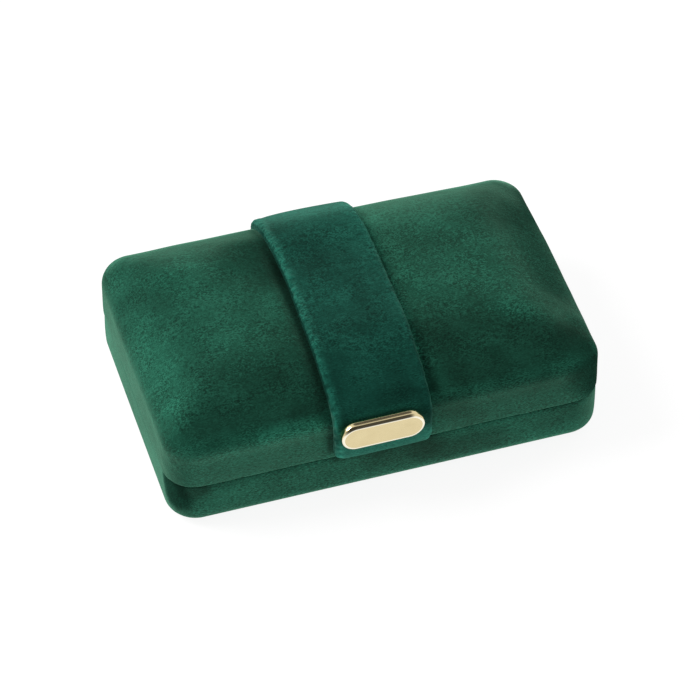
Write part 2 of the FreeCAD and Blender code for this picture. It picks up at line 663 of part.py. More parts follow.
bar_mid = strap_mid - dim("bar_shift")
bar_y = -(half_d + gap + t + dim("bar_seat"))
stud_holes, nut_seats, nuts = [], [], []
for k in (-1, 1):
    x = bar_mid + dim("stud_dx") * k
    stud_holes.append(rod("stud_hole%d" % (k + 1), dim("stud_r") + dim("stud_play"), 4, x,
                          bar_y - 1, dim("bar_z"), "Y"))
    core_face = -(half_d + room_in + cp)
    nut_seats.append(rod("nut_seat%d" % (k + 1), dim("nut_r") + 0.2, 3, x,
                         core_face - dim("nut_thick") - 0.06, dim("bar_z"), "Y"))
    ring = rod("nut_ring%d" % (k + 1), dim("nut_r"), dim("nut_thick"), x,
               core_face - dim("nut_thick"), dim("bar_z"), "Y")
    hole = rod("nut_hole%d" % (k + 1), dim("stud_r") + 0.03, 3, x, core_face - 1, dim("bar_z"), "Y")
    nuts.append(cut("nut%d" % (k + 1), ring, hole))
node("clasp_push_nuts", group("clasp_push_nuts", nuts))

cover_holes = [rod("cover_hole%d" % (k + 1), dim("stud_r") + dim("stud_play"), 2,
                   bar_mid + dim("stud_dx") * k, bar_y - 0.5, dim("bar_z"), "Y") for k in (-1, 1)]
node("flap_cover", cut("flap_cover", flap_full, flap_room, *cover_holes))

magnet_window = block("magnet_window", strap_mid - mag_half - 0.1, strap_mid + mag_half + 0.1,
                      -(half_d + 6), -(half_d), dim("magnet_z") - 0.1,
                      dim("magnet_z") + dim("magnet_height") + 0.1)
flap_core_raw = common("flap_core_raw", band("flap_core_band", room_in + cp, room_out - cp,
                                             dim("strap_width") - hem * 2 - cp * 2,
                                             dim("tip_low") + dim("tip_hem") + cp),
                       wedge("flap_core_side", angle + hem_angle + 0.3, True))
node("flap_core", cut("flap_core", flap_core_raw, magnet_window, *(stud_holes + nut_seats)))
node("flap_magnet", block("magnet", strap_mid - mag_half, strap_mid + mag_half,
                          -(half_d + room_out - cp), -(half_d + room_in + cp),
                          dim("magnet_z"), dim("magnet_z") + dim("magnet_height")))

# the metal bar: a stadium plate with a bevelled rim and two studs behind it
bar = new_body("bar")
bar_sketch = new_sketch(bar, "bar_plan", "XZ_Plane", -bar_y)
bind(bar_sketch, "AttachmentOffset.Base.x", bar_mid)
bind(bar_sketch, "AttachmentOffset.Base.y", dim("bar_z"))
bh, bl = dim("bar_height").value / 2, dim("bar_length").value / 2
q = math.pi / 2
bar_sketch.addGeometry(line(-bl + bh, -bh, bl - bh, -bh))
bar_sketch.addGeometry(arc(bl - bh, 0, bh, -q, q))
bar_sketch.addGeometry(line(bl - bh, bh, -bl + bh, bh))
bar_sketch.addGeometry(arc(-bl + bh, 0, bh, q, 3 * q))
for k in range(4):
    tangent(bar_sketch, k, (k + 1) % 4)
bar_sketch.addConstraint(Sketcher.Constraint("Horizontal", 0))
bar_sketch.addConstraint(Sketcher.Constraint("PointOnObject", 1, 3, -1))
datum(bar_sketch, "Radius", (1,), dim("bar_height") * 0.5, "end_r")
datum(bar_sketch, "DistanceX", (-1, 1, 1, 3), (dim("bar_length") - dim("bar_height")) * 0.5, "right_mid")
datum(bar_sketch, "DistanceX", (3, 3, -1, 1), (dim("bar_length") - dim("bar_height")) * 0.5, "left_mid")
plate = pad(bar, bar_sketch, dim("bar_thick"))
doc.recompute()
front = plate.Shape.BoundBox.YMin
rim = ["Edge%d" % (i + 1) for i, e in enumerate(plate.Shape.Edges)
       if abs(e.BoundBox.YMin - front) < 1e-6 and abs(e.BoundBox.YMax - front) < 1e-6]
bevel = bar.newObject("PartDesign::Chamfer", "bar_bevel_cut")
bevel.Base = (plate, rim)
bind(bevel, "Size", dim("bar_bevel"))
stud_sketch = new_sketch(bar, "stud_plan", "XZ_Plane", -bar_y)
bind(stud_sketch, "AttachmentOffset.Base.x", bar_mid)
bind(stud_sketch, "AttachmentOffset.Base.y", dim("bar_z"))
for k, (x, pair) in enumerate(((dim("stud_dx"), (-1, 1, 0, 3)), (-dim("stud_dx"), (1, 3, -1, 1)))):
    stud_sketch.addGeometry(Part.Circle(V(x.value, 0, 0), V(0, 0, 1), dim("stud_r").value))
    stud_sketch.addConstraint(Sketcher.Constraint("PointOnObject", k, 3, -1))
    datum(stud_sketch, "Radius", (k,), dim("stud_r"), "stud_r%d" % k)
    datum(stud_sketch, "DistanceX", pair, dim("stud_dx"), "stud_x%d" % k)
pad(bar, stud_sketch, dim("stud_long"), back=True)
node("clasp_bar", bar)

# ------------------------------------------------------------ checks and export
doc.recompute()
bad = [o.Label for o in doc.Objects if any(s in ("Invalid", "Error") for s in o.State)]
if bad:
    raise RuntimeError("failed objects: " + ", ".join(bad))
os.makedirs("parts", exist_ok=True)
shapes = {}
for label, obj in NODES.items():
    shape = obj.Shape
    if shape.isNull() or not shape.isValid() or not shape.Solids:
        raise RuntimeError("bad shape: " + label)
    shapes[label] = shape
for label, shape in shapes.items():
    box = shape.BoundBox
    print("%-22s solids %d  volume %9.1f  x %7.2f..%7.2f  y %7.2f..%7.2f  z %6.2f..%6.2f" % (
        label, len(shape.Solids), shape.Volume, box.XMin, box.XMax, box.YMin, box.YMax,
        box.ZMin, box.ZMax))
    shape.exportStep("parts/%s.step" % label)
print("flap axis  y %.4f  z %.4f" % (root_at.y, root_at.z))
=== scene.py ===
"""Green velvet ring box: looks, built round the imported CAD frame.

Front of the box is -Y, up is +Z, metres.  Shapes are worked out in millimetres
and scaled once when a mesh is made.
"""
import math

import bmesh
import bpy
import numpy as np
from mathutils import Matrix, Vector


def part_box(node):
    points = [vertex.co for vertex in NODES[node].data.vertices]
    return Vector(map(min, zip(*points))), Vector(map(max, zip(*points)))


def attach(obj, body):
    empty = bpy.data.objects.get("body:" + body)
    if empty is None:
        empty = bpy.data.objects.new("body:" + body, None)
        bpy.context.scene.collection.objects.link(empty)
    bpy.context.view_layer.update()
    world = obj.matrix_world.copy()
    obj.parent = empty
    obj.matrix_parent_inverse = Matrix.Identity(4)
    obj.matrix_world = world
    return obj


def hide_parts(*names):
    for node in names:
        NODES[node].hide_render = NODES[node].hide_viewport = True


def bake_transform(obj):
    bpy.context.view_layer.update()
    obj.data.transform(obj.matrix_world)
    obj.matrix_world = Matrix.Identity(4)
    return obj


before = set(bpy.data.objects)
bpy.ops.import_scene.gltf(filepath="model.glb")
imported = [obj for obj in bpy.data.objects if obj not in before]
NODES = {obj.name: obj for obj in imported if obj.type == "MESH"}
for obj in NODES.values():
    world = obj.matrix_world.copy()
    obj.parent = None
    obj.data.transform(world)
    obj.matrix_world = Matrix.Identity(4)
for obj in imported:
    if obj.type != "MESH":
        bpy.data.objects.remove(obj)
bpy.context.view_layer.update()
scene = bpy.context.scene
MM = 0.001
FAR = np.array([0.204, 0.663, -0.720])     # away from someone at the box's front left
DOWN = np.array([0.0, 0.0, -1.0])


# ------------------------------------------------------------------ small tools
def smoothstep(a, b, x):
    t = np.clip((np.asarray(x, float) - a) / (b - a), 0.0, 1.0)
    return t * t * (3 - 2 * t)


def waves(seed, shortest, longest, count=9):
    """A seeded smooth field of a position in millimetres, about -1 to 1."""
    rng = np.random.default_rng(seed)
    way = rng.normal(size=(count, 3))
    way /= np.linalg.norm(way, axis=1)[:, None]
    way *= (2 * np.pi / rng.uniform(shortest, longest, count))[:, None]
    phase = rng.uniform(0, 2 * np.pi, count)

    def field(p):
        return np.sin(np.asarray(p, float) @ way.T + phase).sum(axis=1) / math.sqrt(count * 2.0)

    return field


def make(name, points, faces, material, pile=None, tidy=True, lean=None, painted_light_and_nap=None, comb=None, gain=None):
    """A smooth-shaded mesh object from millimetre points.  pile is where each
    point lies on the uncut cloth, which the velvet's pattern follows.  lean is the
    way each point's pile lies over, painted_light_and_nap how many stops darker (below 0) or
    lighter its colour is, as painted light and shade with a few nap patches, comb how far
    its pile lies in rows, and gain how many stops stronger its grain is."""
    points = np.asarray(points, float)
    mesh = bpy.data.meshes.new(name)
    mesh.from_pydata((points * MM).tolist(), [], [list(map(int, f)) for f in faces])
    attribute = mesh.attributes.new("pile_mm", "FLOAT_VECTOR", "POINT")
    attribute.data.foreach_set("vector", np.asarray(points if pile is None else pile, np.float32).ravel())
    mesh.update()
    if tidy:
        bm = bmesh.new()
        bm.from_mesh(mesh)
        bmesh.ops.recalc_face_normals(bm, faces=bm.faces)
        bm.to_mesh(mesh)
        bm.free()
    mesh.polygons.foreach_set("use_smooth", [True] * len(mesh.polygons))
    marks = mesh.attributes.new("painted_light_and_nap", "FLOAT", "POINT")
    marks.data.foreach_set("value", np.zeros(len(points), np.float32) if painted_light_and_nap is None
                           else np.asarray(painted_light_and_nap, np.float32))
    for key, field in (("comb", comb), ("gain", gain)):
        if field is not None:
            extra = mesh.attributes.new(key, "FLOAT", "POINT")
            extra.data.foreach_set("value", np.asarray(field, np.float32))
    if lean is not None:
        n = np.zeros(len(points) * 3, np.float32)
        mesh.vertex_normals.foreach_get("vector", n)
        n = n.reshape(-1, 3).astype(float)
        n += lean - n * (n * lean).sum(axis=1)[:, None]
        n /= np.linalg.norm(n, axis=1)[:, None]
        mesh.normals_split_custom_set_from_vertices(n.tolist())
    obj = bpy.data.objects.new(name, mesh)
    scene.collection.objects.link(obj)
    if material is not None:
        mesh.materials.append(material)
    return obj


def normals_of(points, faces):
    """Vertex normals of a quad mesh, weighted by area."""
    quads = np.asarray(faces, int)
    a, b, c, d = (points[quads[:, k]] for k in range(4))
    n = np.cross(c - a, d - b)
    out = np.zeros_like(points)
    for k in range(4):
        np.add.at(out, quads[:, k], n)
    return out / np.maximum(np.linalg.norm(out, axis=1), 1e-12)[:, None]


def strokes(points, marks):
    """Sum of marks along segments, which lay painted light and shade in the colour and the pile's lean: from one
    point to another in millimetres, half width, softness of its edge, and amount."""
    out = np.zeros(len(points))
    for start, end, width, soft, amount in marks:
        start, end = np.array(start, float), np.array(end, float)
        run = end - start
        t = np.clip((points - start) @ run / max(run @ run, 1e-9), 0.0, 1.0)
        away = np.linalg.norm(points - start - t[:, None] * run, axis=1)
        out += amount * (1 - smoothstep(width - soft, width + soft, away))
    return out


# ---------------------------------------------------- rounded-rectangle outlines
def outline(half_x, half_y, r, nx, ny, k):
    """Anchors and outward directions round a rounded rectangle: it starts in the
    middle of the front-left corner and runs along the front first."""
    cx, cy = half_x - r, half_y - r
    rows = []

    def corner(px, py, a0, a1, n):
        for i in range(n):
            a = math.radians(a0 + (a1 - a0) * i / n)
            rows.append((px, py, math.cos(a), math.sin(a)))

    def side(x0, y0, x1, y1, dx, dy, n):
        for i in range(n):
            t = i / n
            rows.append((x0 + (x1 - x0) * t, y0 + (y1 - y0) * t, dx, dy))

    h = k // 2
    corner(-cx, -cy, 225, 270, h)
    side(-cx, -cy, cx, -cy, 0, -1, nx)
    corner(cx, -cy, 270, 360, k)
    side(cx, -cy, cx, cy, 1, 0, ny)
    corner(cx, cy, 0, 90, k)
    side(cx, cy, -cx, cy, 0, 1, nx)
    corner(-cx, cy, 90, 180, k)
    side(-cx, cy, -cx, -cy, -1, 0, ny)
    corner(-cx, -cy, 180, 225, h)
    return np.array(rows)


def ring_points(rows, r, inset, z):
    """The outline drawn in by inset at height z, which may differ along it."""
    inset = np.broadcast_to(np.asarray(inset, float), len(rows))
    z = np.broadcast_to(np.asarray(z, float), len(rows))
    xy = rows[:, :2] + rows[:, 2:] * (r - inset)[:, None]
    return np.column_stack([xy, z])


def band_faces(first, second, n):
    return [(first + i, first + (i + 1) % n, second + (i + 1) % n, second + i) for i in range(n)]


def patch(ring, sx, sy):
    """Fills a closed ring of 2*(sx+sy) points with a grid.  Returns the index grid,
    where -1 is a new point, and the new points."""
    n = len(ring)
    grid = np.full((sx + 1, sy + 1), -1, int)
    grid[:, 0] = np.arange(sx + 1)
    grid[sx, :] = sx + np.arange(sy + 1)
    grid[::-1, sy] = sx + sy + np.arange(sx + 1)
    grid[0, ::-1] = (2 * sx + sy + np.arange(sy + 1)) % n
    front, right = ring[grid[:, 0]], ring[grid[sx, :]]
    back, left = ring[grid[:, sy]], ring[grid[0, :]]
    u = np.linspace(0, 1, sx + 1)[:, None, None]
    v = np.linspace(0, 1, sy + 1)[None, :, None]
    full = ((1 - v) * front[:, None] + v * back[:, None] + (1 - u) * left[None] + u * right[None]
            - (1 - u) * (1 - v) * front[0] - u * (1 - v) * front[-1]
            - (1 - u) * v * back[0] - u * v * back[-1])
    return grid, full


def dome_mesh(rings, sx, sy, height=None):
    """Rings from the rim to the crown, closed by a grid.  Returns points, faces."""
    n = len(rings[0])
    points = [p for p in rings]
    faces = []
    for k in range(len(rings) - 1):
        faces += band_faces(k * n, (k + 1) * n, n)
    grid, full = patch(rings[-1], sx, sy)
    index = np.where(grid >= 0, grid + (len(rings) - 1) * n, -1)
    inner = np.argwhere(grid < 0)
    fresh = full[inner[:, 0], inner[:, 1]]
    if height is not None:
        fresh[:, 2] = height(fresh[:, :2])
    index[inner[:, 0], inner[:, 1]] = len(rings) * n + np.arange(len(inner))
    points.append(fresh)
    for i in range(sx):
        for j in range(sy):
            faces.append((index[i, j], index[i + 1, j], index[i + 1, j + 1], index[i, j + 1]))
    return np.concatenate(points), faces


def skin_of(points, faces, n, outer, inner, hem=0.0):
    """A closed skin between two depths under an open surface whose first n points
    are its free edge.  hem rounds that edge."""
    nv = normals_of(points, faces)
    a, b = points - nv * outer, points - nv * inner
    count = len(points)
    out = [a, b]
    f = list(faces) + [tuple(count + i for i in reversed(q)) for q in faces]
    if hem:
        along = points[:n] - points[n:2 * n]
        along /= np.maximum(np.linalg.norm(along, axis=1), 1e-9)[:, None]
        out.append((a[:n] + b[:n]) / 2 + along * hem)
        m = 2 * count
        f += [(i2, i, m + i, m + i2) for i in range(n) for i2 in [(i + 1) % n]]
        f += [(m + i2, m + i, count + i, count + i2) for i in range(n) for i2 in [(i + 1) % n]]
    else:
        f += [(i2, i, count + i, count + i2) for i in range(n) for i2 in [(i + 1) % n]]
    return np.concatenate(out), f


def relaxed(points, faces, weight, rounds):
    """Evens out a quad mesh where weight is above zero."""
    quads = np.asarray(faces, int)
    at = np.concatenate([quads[:, k] for k in range(4)] * 2)
    by = np.concatenate([quads[:, (k + s) % 4] for s in (1, 3) for k in range(4)])
    count = np.maximum(np.bincount(at, minlength=len(points)), 1)
    for _ in range(rounds):
        mean = np.column_stack([np.bincount(at, weights=points[by, k], minlength=len(points)) for k in range(3)])
        points = points + (0.5 * weight)[:, None] * (mean / count[:, None] - points)
    return points


# ---------------------------------------------------------------------- shading
class Graph:
    """A short way to write a node tree."""

    def __init__(self, name):
        self.material = bpy.data.materials.new(name)
        self.material.use_nodes = True
        self.tree = self.material.node_tree
        self.tree.nodes.clear()
        self.shader = self.node("ShaderNodeBsdfPrincipled")
        out = self.node("ShaderNodeOutputMaterial")
        self.link(self.shader.outputs["BSDF"], out.inputs["Surface"])

    def node(self, kind, **settings):
        n = self.tree.nodes.new(kind)
        for k, v in settings.items():
            setattr(n, k, v)
        return n

    def link(self, a, b):
        self.tree.links.new(a, b)

    def put(self, socket, value):
        if isinstance(value, bpy.types.NodeSocket):
            self.link(value, socket)
        else:
            socket.default_value = value

    def math(self, op, a, b=0.0, c=0.0, clamp=False):
        n = self.node("ShaderNodeMath", operation=op, use_clamp=clamp)
        for s, v in zip(n.inputs, (a, b, c)):
            self.put(s, v)
        return n.outputs[0]

    def vec(self, op, a, b=(0.0, 0.0, 0.0)):
        n = self.node("ShaderNodeVectorMath", operation=op)
        self.put(n.inputs[0], a)
        self.put(n.inputs[1], b)
        return n.outputs[0]

    def noise(self, vector, scale=1.0, detail=2.0, roughness=0.5, distortion=0.0, colour=False):
        n = self.node("ShaderNodeTexNoise", noise_dimensions="3D")
        self.put(n.inputs["Vector"], vector)
        n.inputs["Scale"].default_value = scale
        n.inputs["Detail"].default_value = detail
        n.inputs["Roughness"].default_value = roughness
        n.inputs["Distortion"].default_value = distortion
        return n.outputs["Color" if colour else "Fac"]

    def span(self, value, a, b, c, d):
        n = self.node("ShaderNodeMapRange", clamp=True)
        self.put(n.inputs["Value"], value)
        for k, v in zip(("From Min", "From Max", "To Min", "To Max"), (a, b, c, d)):
            n.inputs[k].default_value = v
        return n.outputs["Result"]

    def ramp(self, value, stops):
        n = self.node("ShaderNodeValToRGB")
        self.put(n.inputs["Fac"], value)
        e = n.color_ramp.elements
        while len(e) < len(stops):
            e.new(0.5)
        for item, (at, colour) in zip(e, stops):
            item.position = at
            item.color = (*colour, 1.0)
        return n.outputs["Color"]

    def bump(self, height, strength, distance, normal=None):
        n = self.node("ShaderNodeBump")
        n.inputs["Strength"].default_value = strength
        n.inputs["Distance"].default_value = distance
        self.put(n.inputs["Height"], height)
        if normal is not None:
            self.link(normal, n.inputs["Normal"])
        return n.outputs["Normal"]

    def set(self, **values):
        for k, v in values.items():
            self.put(self.shader.inputs[k.replace("_", " ")], v)
        return self.material

    def place(self, source):
        """Where the shaded point is, in millimetres."""
        if source == "pile":
            return self.node("ShaderNodeAttribute", attribute_name="pile_mm").outputs["Vector"]
        return self.vec("MULTIPLY", self.node("ShaderNodeTexCoord").outputs["Object"], (1000.0,) * 3)


def velvet(name, dark, mid, light, tint, weight=1.0, sheen_roughness=0.5, source="pile", shift=0.0, grain=1.0):
    """Short-pile velvet: curled tufts about a millimetre across, finer fibre in
    them, and broad patches where the nap was brushed the other way."""
    g = Graph(name)
    p = g.place(source)
    if shift:
        p = g.vec("ADD", p, (shift, shift * 0.7, shift * 1.3))
    warp = g.noise(p, 0.6, 1.0, 0.5, colour=True)
    warp = g.vec("MULTIPLY", g.vec("SUBTRACT", warp, (0.5, 0.5, 0.5)), (0.7, 0.7, 0.7))
    q = g.vec("ADD", p, warp)
    tuft = g.noise(g.vec("MULTIPLY", q, (0.7, 1.05, 1.05)), grain, 3.0, 0.65, 0.2)
    fibre = g.noise(g.vec("MULTIPLY", q, (1.5, 2.7, 2.7)), grain, 2.0, 0.6, 0.1)
    stroke = g.noise(g.vec("MULTIPLY", p, (0.07, 0.1, 0.1)), 1.0, 3.0, 0.55, 0.5)
    nap = g.noise(p, 0.034, 3.0, 0.55, 0.8)
    ruffle = g.span(g.noise(p, 0.13, 2.0, 0.5), 0.38, 0.62, 0.55, 1.35)
    fine = g.math("ADD", g.math("MULTIPLY", g.span(tuft, 0.3, 0.7, -1.0, 1.0), 0.42),
                  g.math("MULTIPLY", g.span(fibre, 0.3, 0.7, -1.0, 1.0), 0.58))
    rows = g.noise(g.vec("MULTIPLY", q, (1.0, 4.4, 5.0)), grain, 1.0, 0.6, 0.1)
    comb = g.node("ShaderNodeAttribute", attribute_name="comb").outputs["Fac"]
    gain = g.node("ShaderNodeAttribute", attribute_name="gain").outputs["Fac"]
    fine = g.math("ADD", fine, g.math("MULTIPLY", comb, g.math("SUBTRACT", g.span(rows, 0.3, 0.7, -1.0, 1.0), fine)))
    fine = g.math("MULTIPLY", fine, g.math("MULTIPLY", ruffle, g.math("POWER", 2.0, gain)))
    broad = g.math("ADD", g.math("MULTIPLY", nap, 0.4), g.math("MULTIPLY", stroke, 0.6))
    value = g.math("ADD", g.math("MULTIPLY", fine, 0.95),
                   g.math("MULTIPLY", g.span(broad, 0.36, 0.64, -0.5, 0.5), 0.4))
    colour = g.ramp(g.math("ADD", value, 0.5, clamp=True), [(0.0, dark), (0.5, mid), (1.0, light)])
    # painted light and shade: the colour is scaled by two to the power of each point's stops
    marks = g.node("ShaderNodeAttribute", attribute_name="painted_light_and_nap").outputs["Fac"]
    scaled = g.node("ShaderNodeVectorMath", operation="SCALE")
    g.link(colour, scaled.inputs[0])
    g.link(g.math("POWER", 2.0, marks), scaled.inputs["Scale"])
    colour = scaled.outputs[0]
    normal = g.bump(nap, 0.2, 0.004)
    normal = g.bump(tuft, 0.3, 0.0004, normal)
    normal = g.bump(fibre, 0.4, 0.0002, normal)
    return g.set(Base_Color=colour, Roughness=0.9, Normal=normal, Sheen_Weight=weight,
                 Sheen_Roughness=sheen_roughness, Sheen_Tint=(*tint, 1.0), Specular_IOR_Level=0.0)


def metal(name, deep, pale, rough, streak=(1.0, 1.0, 1.0), scale=1.0, bump=0.15, source="object"):
    """Polished or plated metal: fine polishing lines and faint clouding."""
    g = Graph(name)
    p = g.place(source)
    line = g.noise(g.vec("MULTIPLY", p, streak), scale, 3.0, 0.6)
    cloud = g.noise(p, 0.16, 2.0, 0.5)
    colour = g.ramp(g.math("ADD", g.math("MULTIPLY", line, 0.4), g.math("MULTIPLY", cloud, 0.6)),
                    [(0.3, deep), (0.7, pale)])
    r = g.span(g.math("ADD", g.math("MULTIPLY", line, 0.5), g.math("MULTIPLY", cloud, 0.5)), 0.3, 0.7,
               rough * 0.8, rough * 1.25)
    normal = g.bump(line, bump, 0.00004)
    return g.set(Base_Color=colour, Metallic=1.0, Roughness=r, Normal=normal)


def plain(name, deep, pale, rough, grain=0.8, bump=0.3, depth=0.0001):
    """Moulded plastic, board or foam: mottled, with a fine surface grain."""
    g = Graph(name)
    p = g.place("object")
    a, b = g.noise(p, grain, 4.0, 0.6), g.noise(p, 0.12, 3.0, 0.5)
    colour = g.ramp(g.math("ADD", g.math("MULTIPLY", a, 0.5), g.math("MULTIPLY", b, 0.5)),
                    [(0.3, deep), (0.7, pale)])
    return g.set(Base_Color=colour, Roughness=g.span(a, 0.3, 0.7, rough - 0.08, rough + 0.08),
                 Normal=g.bump(a, bump, depth))


GREEN = dict(dark=(0.0018, 0.0167, 0.0103), mid=(0.0048, 0.0404, 0.0249), light=(0.0105, 0.0716, 0.0453),
             tint=(0.37, 0.837, 0.57), weight=0.34, sheen_roughness=0.5)
STRAP_GREEN = dict(dark=(0.0015, 0.0147, 0.0102), mid=(0.0038, 0.0365, 0.0255), light=(0.0085, 0.066, 0.0463),
                   tint=(0.3, 0.82, 0.61), weight=0.23, sheen_roughness=0.5)
box_velvet = velvet("box_velvet", **GREEN)
strap_velvet = velvet("strap_velvet", **STRAP_GREEN, shift=31.0)
inside_velvet = velvet("inside_velvet", **GREEN, shift=77.0)
board_velvet = velvet("board_velvet", **GREEN, source="object", shift=53.0)
gold = metal("champagne_gold", (0.66, 0.55, 0.31), (0.74, 0.63, 0.37), 0.13, (0.25, 6.0, 6.0), 1.4, 0.05)
# a paler, smoother gold for the bar's rim: the paler colour is a painted highlight
gold_rim_highlight = metal("gold_rim_painted_highlight", (0.9, 0.84, 0.66), (0.97, 0.92, 0.76), 0.08, (0.25, 6.0, 6.0), 1.4, 0.03)
brass = metal("hinge_brass", (0.52, 0.36, 0.13), (0.66, 0.48, 0.2), 0.28, (0.4, 3.0, 3.0), 1.5)
steel = metal("bright_steel", (0.42, 0.42, 0.43), (0.58, 0.58, 0.59), 0.3, (0.5, 3.0, 3.0), 1.5)
shell_plastic = plain("moulded_shell", (0.012, 0.022, 0.018), (0.022, 0.036, 0.03), 0.55)
core_board = plain("core_board", (0.2, 0.17, 0.12), (0.3, 0.26, 0.19), 0.85, 0.5)
foam = plain("foam", (0.45, 0.44, 0.4), (0.6, 0.59, 0.54), 0.95, 1.2, 0.6, 0.0004)


# ------------------------------------------------------------- the lid's surface
LX, LY, LR = 75.0, 48.0, 11.0          # half width, half depth, plan corner
LID_LOW, CROWN = 18.7, 47.0
NUM_Y = (537.0, 43.8, 6.0, 16.7)         # crown, shoulder and edge arcs, shoulder's middle
NUM_X = (2200.0, 38.5, 6.0, 46.0)


def dome_numbers(half, crown, shoulder, edge, mid):
    """Centres and joints of a section of three tangent arcs: edge, shoulder, crown."""
    shoulder_z = CROWN - crown + math.sqrt((crown - shoulder) ** 2 - mid ** 2)
    edge_z = shoulder_z + math.sqrt((shoulder - edge) ** 2 - (half - edge - mid) ** 2)
    a_edge = math.acos((half - edge - mid) / (shoulder - edge))       # slope of the surface normal
    a_crown = math.acos(mid / (crown - shoulder))
    return dict(half=half, crown=crown, shoulder=shoulder, edge=edge, mid=mid, shoulder_z=shoulder_z,
                edge_z=edge_z, a_edge=a_edge, a_crown=a_crown)


SEC_Y = dome_numbers(LY, *NUM_Y)
SEC_X = dome_numbers(LX, *NUM_X)


def profile(sec, d):
    """Height of the lid at a distance d in from its face."""
    y = sec["half"] - np.asarray(d, float)
    e, s, c = sec["edge"], sec["shoulder"], sec["crown"]
    edge = sec["edge_z"] + np.sqrt(np.maximum(e ** 2 - (y - sec["half"] + e) ** 2, 0))
    shoulder = sec["shoulder_z"] + np.sqrt(np.maximum(s ** 2 - (y - sec["mid"]) ** 2, 0))
    crown = CROWN - c + np.sqrt(c ** 2 - y ** 2)
    return np.where(y > sec["mid"] + s * math.cos(sec["a_edge"]), edge,
                    np.where(y > sec["mid"] + s * math.cos(sec["a_crown"]), shoulder, crown))


def profile_y(d):
    return profile(SEC_Y, d)


def profile_x(d):
    return profile(SEC_X, d)


STEP = 0.5
gx = np.arange(-LX, LX + STEP / 2, STEP)
gy = np.arange(-LY, LY + STEP / 2, STEP)
GX, GY = np.meshgrid(gx, gy, indexing="ij")


def inset_of(x, y):
    ax, ay = np.abs(x), np.abs(y)
    straight = np.minimum(LX - ax, LY - ay)
    corner = LR - np.hypot(ax - (LX - LR), ay - (LY - LR))
    return np.where((ax > LX - LR) & (ay > LY - LR), corner, straight)


def blur(field, sigma):
    n = int(math.ceil(sigma * 3 / STEP))
    w = np.exp(-0.5 * (np.arange(-n, n + 1) * STEP / sigma) ** 2)
    w /= w.sum()
    for axis in (0, 1):
        pad = [(n, n) if k == axis else (0, 0) for k in (0, 1)]
        big = np.pad(field, pad, mode="edge")
        field = sum(w[k] * np.take(big, np.arange(k, k + field.shape[axis]), axis=axis) for k in range(2 * n + 1))
    return field


depth = np.maximum(inset_of(GX, GY), 0.0)
raw = np.minimum(profile_x(np.minimum(depth, LX)), profile_y(np.minimum(depth, LY)))
side_ness = smoothstep(-4.0, 4.0, (np.abs(GX) - LX) - (np.abs(GY) - LY))
raw = profile_y(depth) * (1 - side_ness) + profile_x(depth) * side_ness
soft = blur(raw, 3.2)
HEIGHT = raw + (soft - raw) * smoothstep(2.0, 9.0, depth)


def sample(field, xy):
    fx = np.clip((xy[:, 0] + LX) / STEP, 0, len(gx) - 1.001)
    fy = np.clip((xy[:, 1] + LY) / STEP, 0, len(gy) - 1.001)
    i, j = fx.astype(int), fy.astype(int)
    u, v = fx - i, fy - j
    return ((1 - u) * (1 - v) * field[i, j] + u * (1 - v) * field[i + 1, j]
            + (1 - u) * v * field[i, j + 1] + u * v * field[i + 1, j + 1])


NX, NY, NK = 116, 68, 16
SX, SY = NX + NK, NY + NK
lid_rows = outline(LX, LY, LR, NX, NY, NK)
NRING = len(lid_rows)
side_part = lid_rows[:, 2] ** 2


def dome_z(d):
    """Height of the ring at inset d, all round."""
    z = profile_y(d) * (1 - side_part) + profile_x(d) * side_part
    p = ring_points(lid_rows, LR, d, 0.0)
    return z + (sample(HEIGHT, p[:, :2]) - z) * smoothstep(2.0, 9.0, d)


lid_swell = waves(11, 38.0, 90.0)
lid_ripple = waves(12, 9.0, 22.0)
rim_wave = waves(13, 26.0, 60.0)
rim_fuzz = waves(14, 2.6, 7.5, 14)
STRAP_MID, STRAP_HALF = -3.3, 16.8
HINGE_X = 45.0


def hinge_span(p):
    """1 where a hinge barrel sits at the back, 0 elsewhere."""
    near = np.abs(np.abs(p[:, 0]) - HINGE_X)
    return (1 - smoothstep(12.5, 14.2, near)) * (p[:, 1] > 30)


def wall_out(z):
    """The padded wall stands out a little between rim and shoulder."""
    return 0.08 * np.exp(-((z - 22.0) / 4.0) ** 2)


WALL_TOP = min(SEC_X["edge_z"], SEC_Y["edge_z"])


def lid_outer_rings(flange=True):
    rings = []
    roll = 0.5
    if flange:
        for d in (4.55, 3.8, 2.9, 2.0, 1.3):
            rings.append(ring_points(lid_rows, LR, d, LID_LOW))
        for a in np.radians([0, 18, 36, 54, 72, 90]):
            d = roll * (1 - math.sin(a))
            rings.append(ring_points(lid_rows, LR, d - wall_out(LID_LOW + roll) * math.sin(a) ** 2,
                                     LID_LOW + roll * (1 - math.cos(a))))
        zs = np.linspace(LID_LOW + roll + 0.75, WALL_TOP, 12)
    else:
        zs = np.linspace(LID_LOW, WALL_TOP, 13)
    for z in zs:
        rings.append(ring_points(lid_rows, LR, -wall_out(z), z))
    for d in (0.045, 0.16, 0.34, 0.6, 0.95, 1.35, 1.85, 2.4, 3.0, 3.7, 4.4, 5.2, 6.0, 6.9, 7.8, 8.7, 9.6):
        rings.append(ring_points(lid_rows, LR, d, dome_z(d)))
    return rings


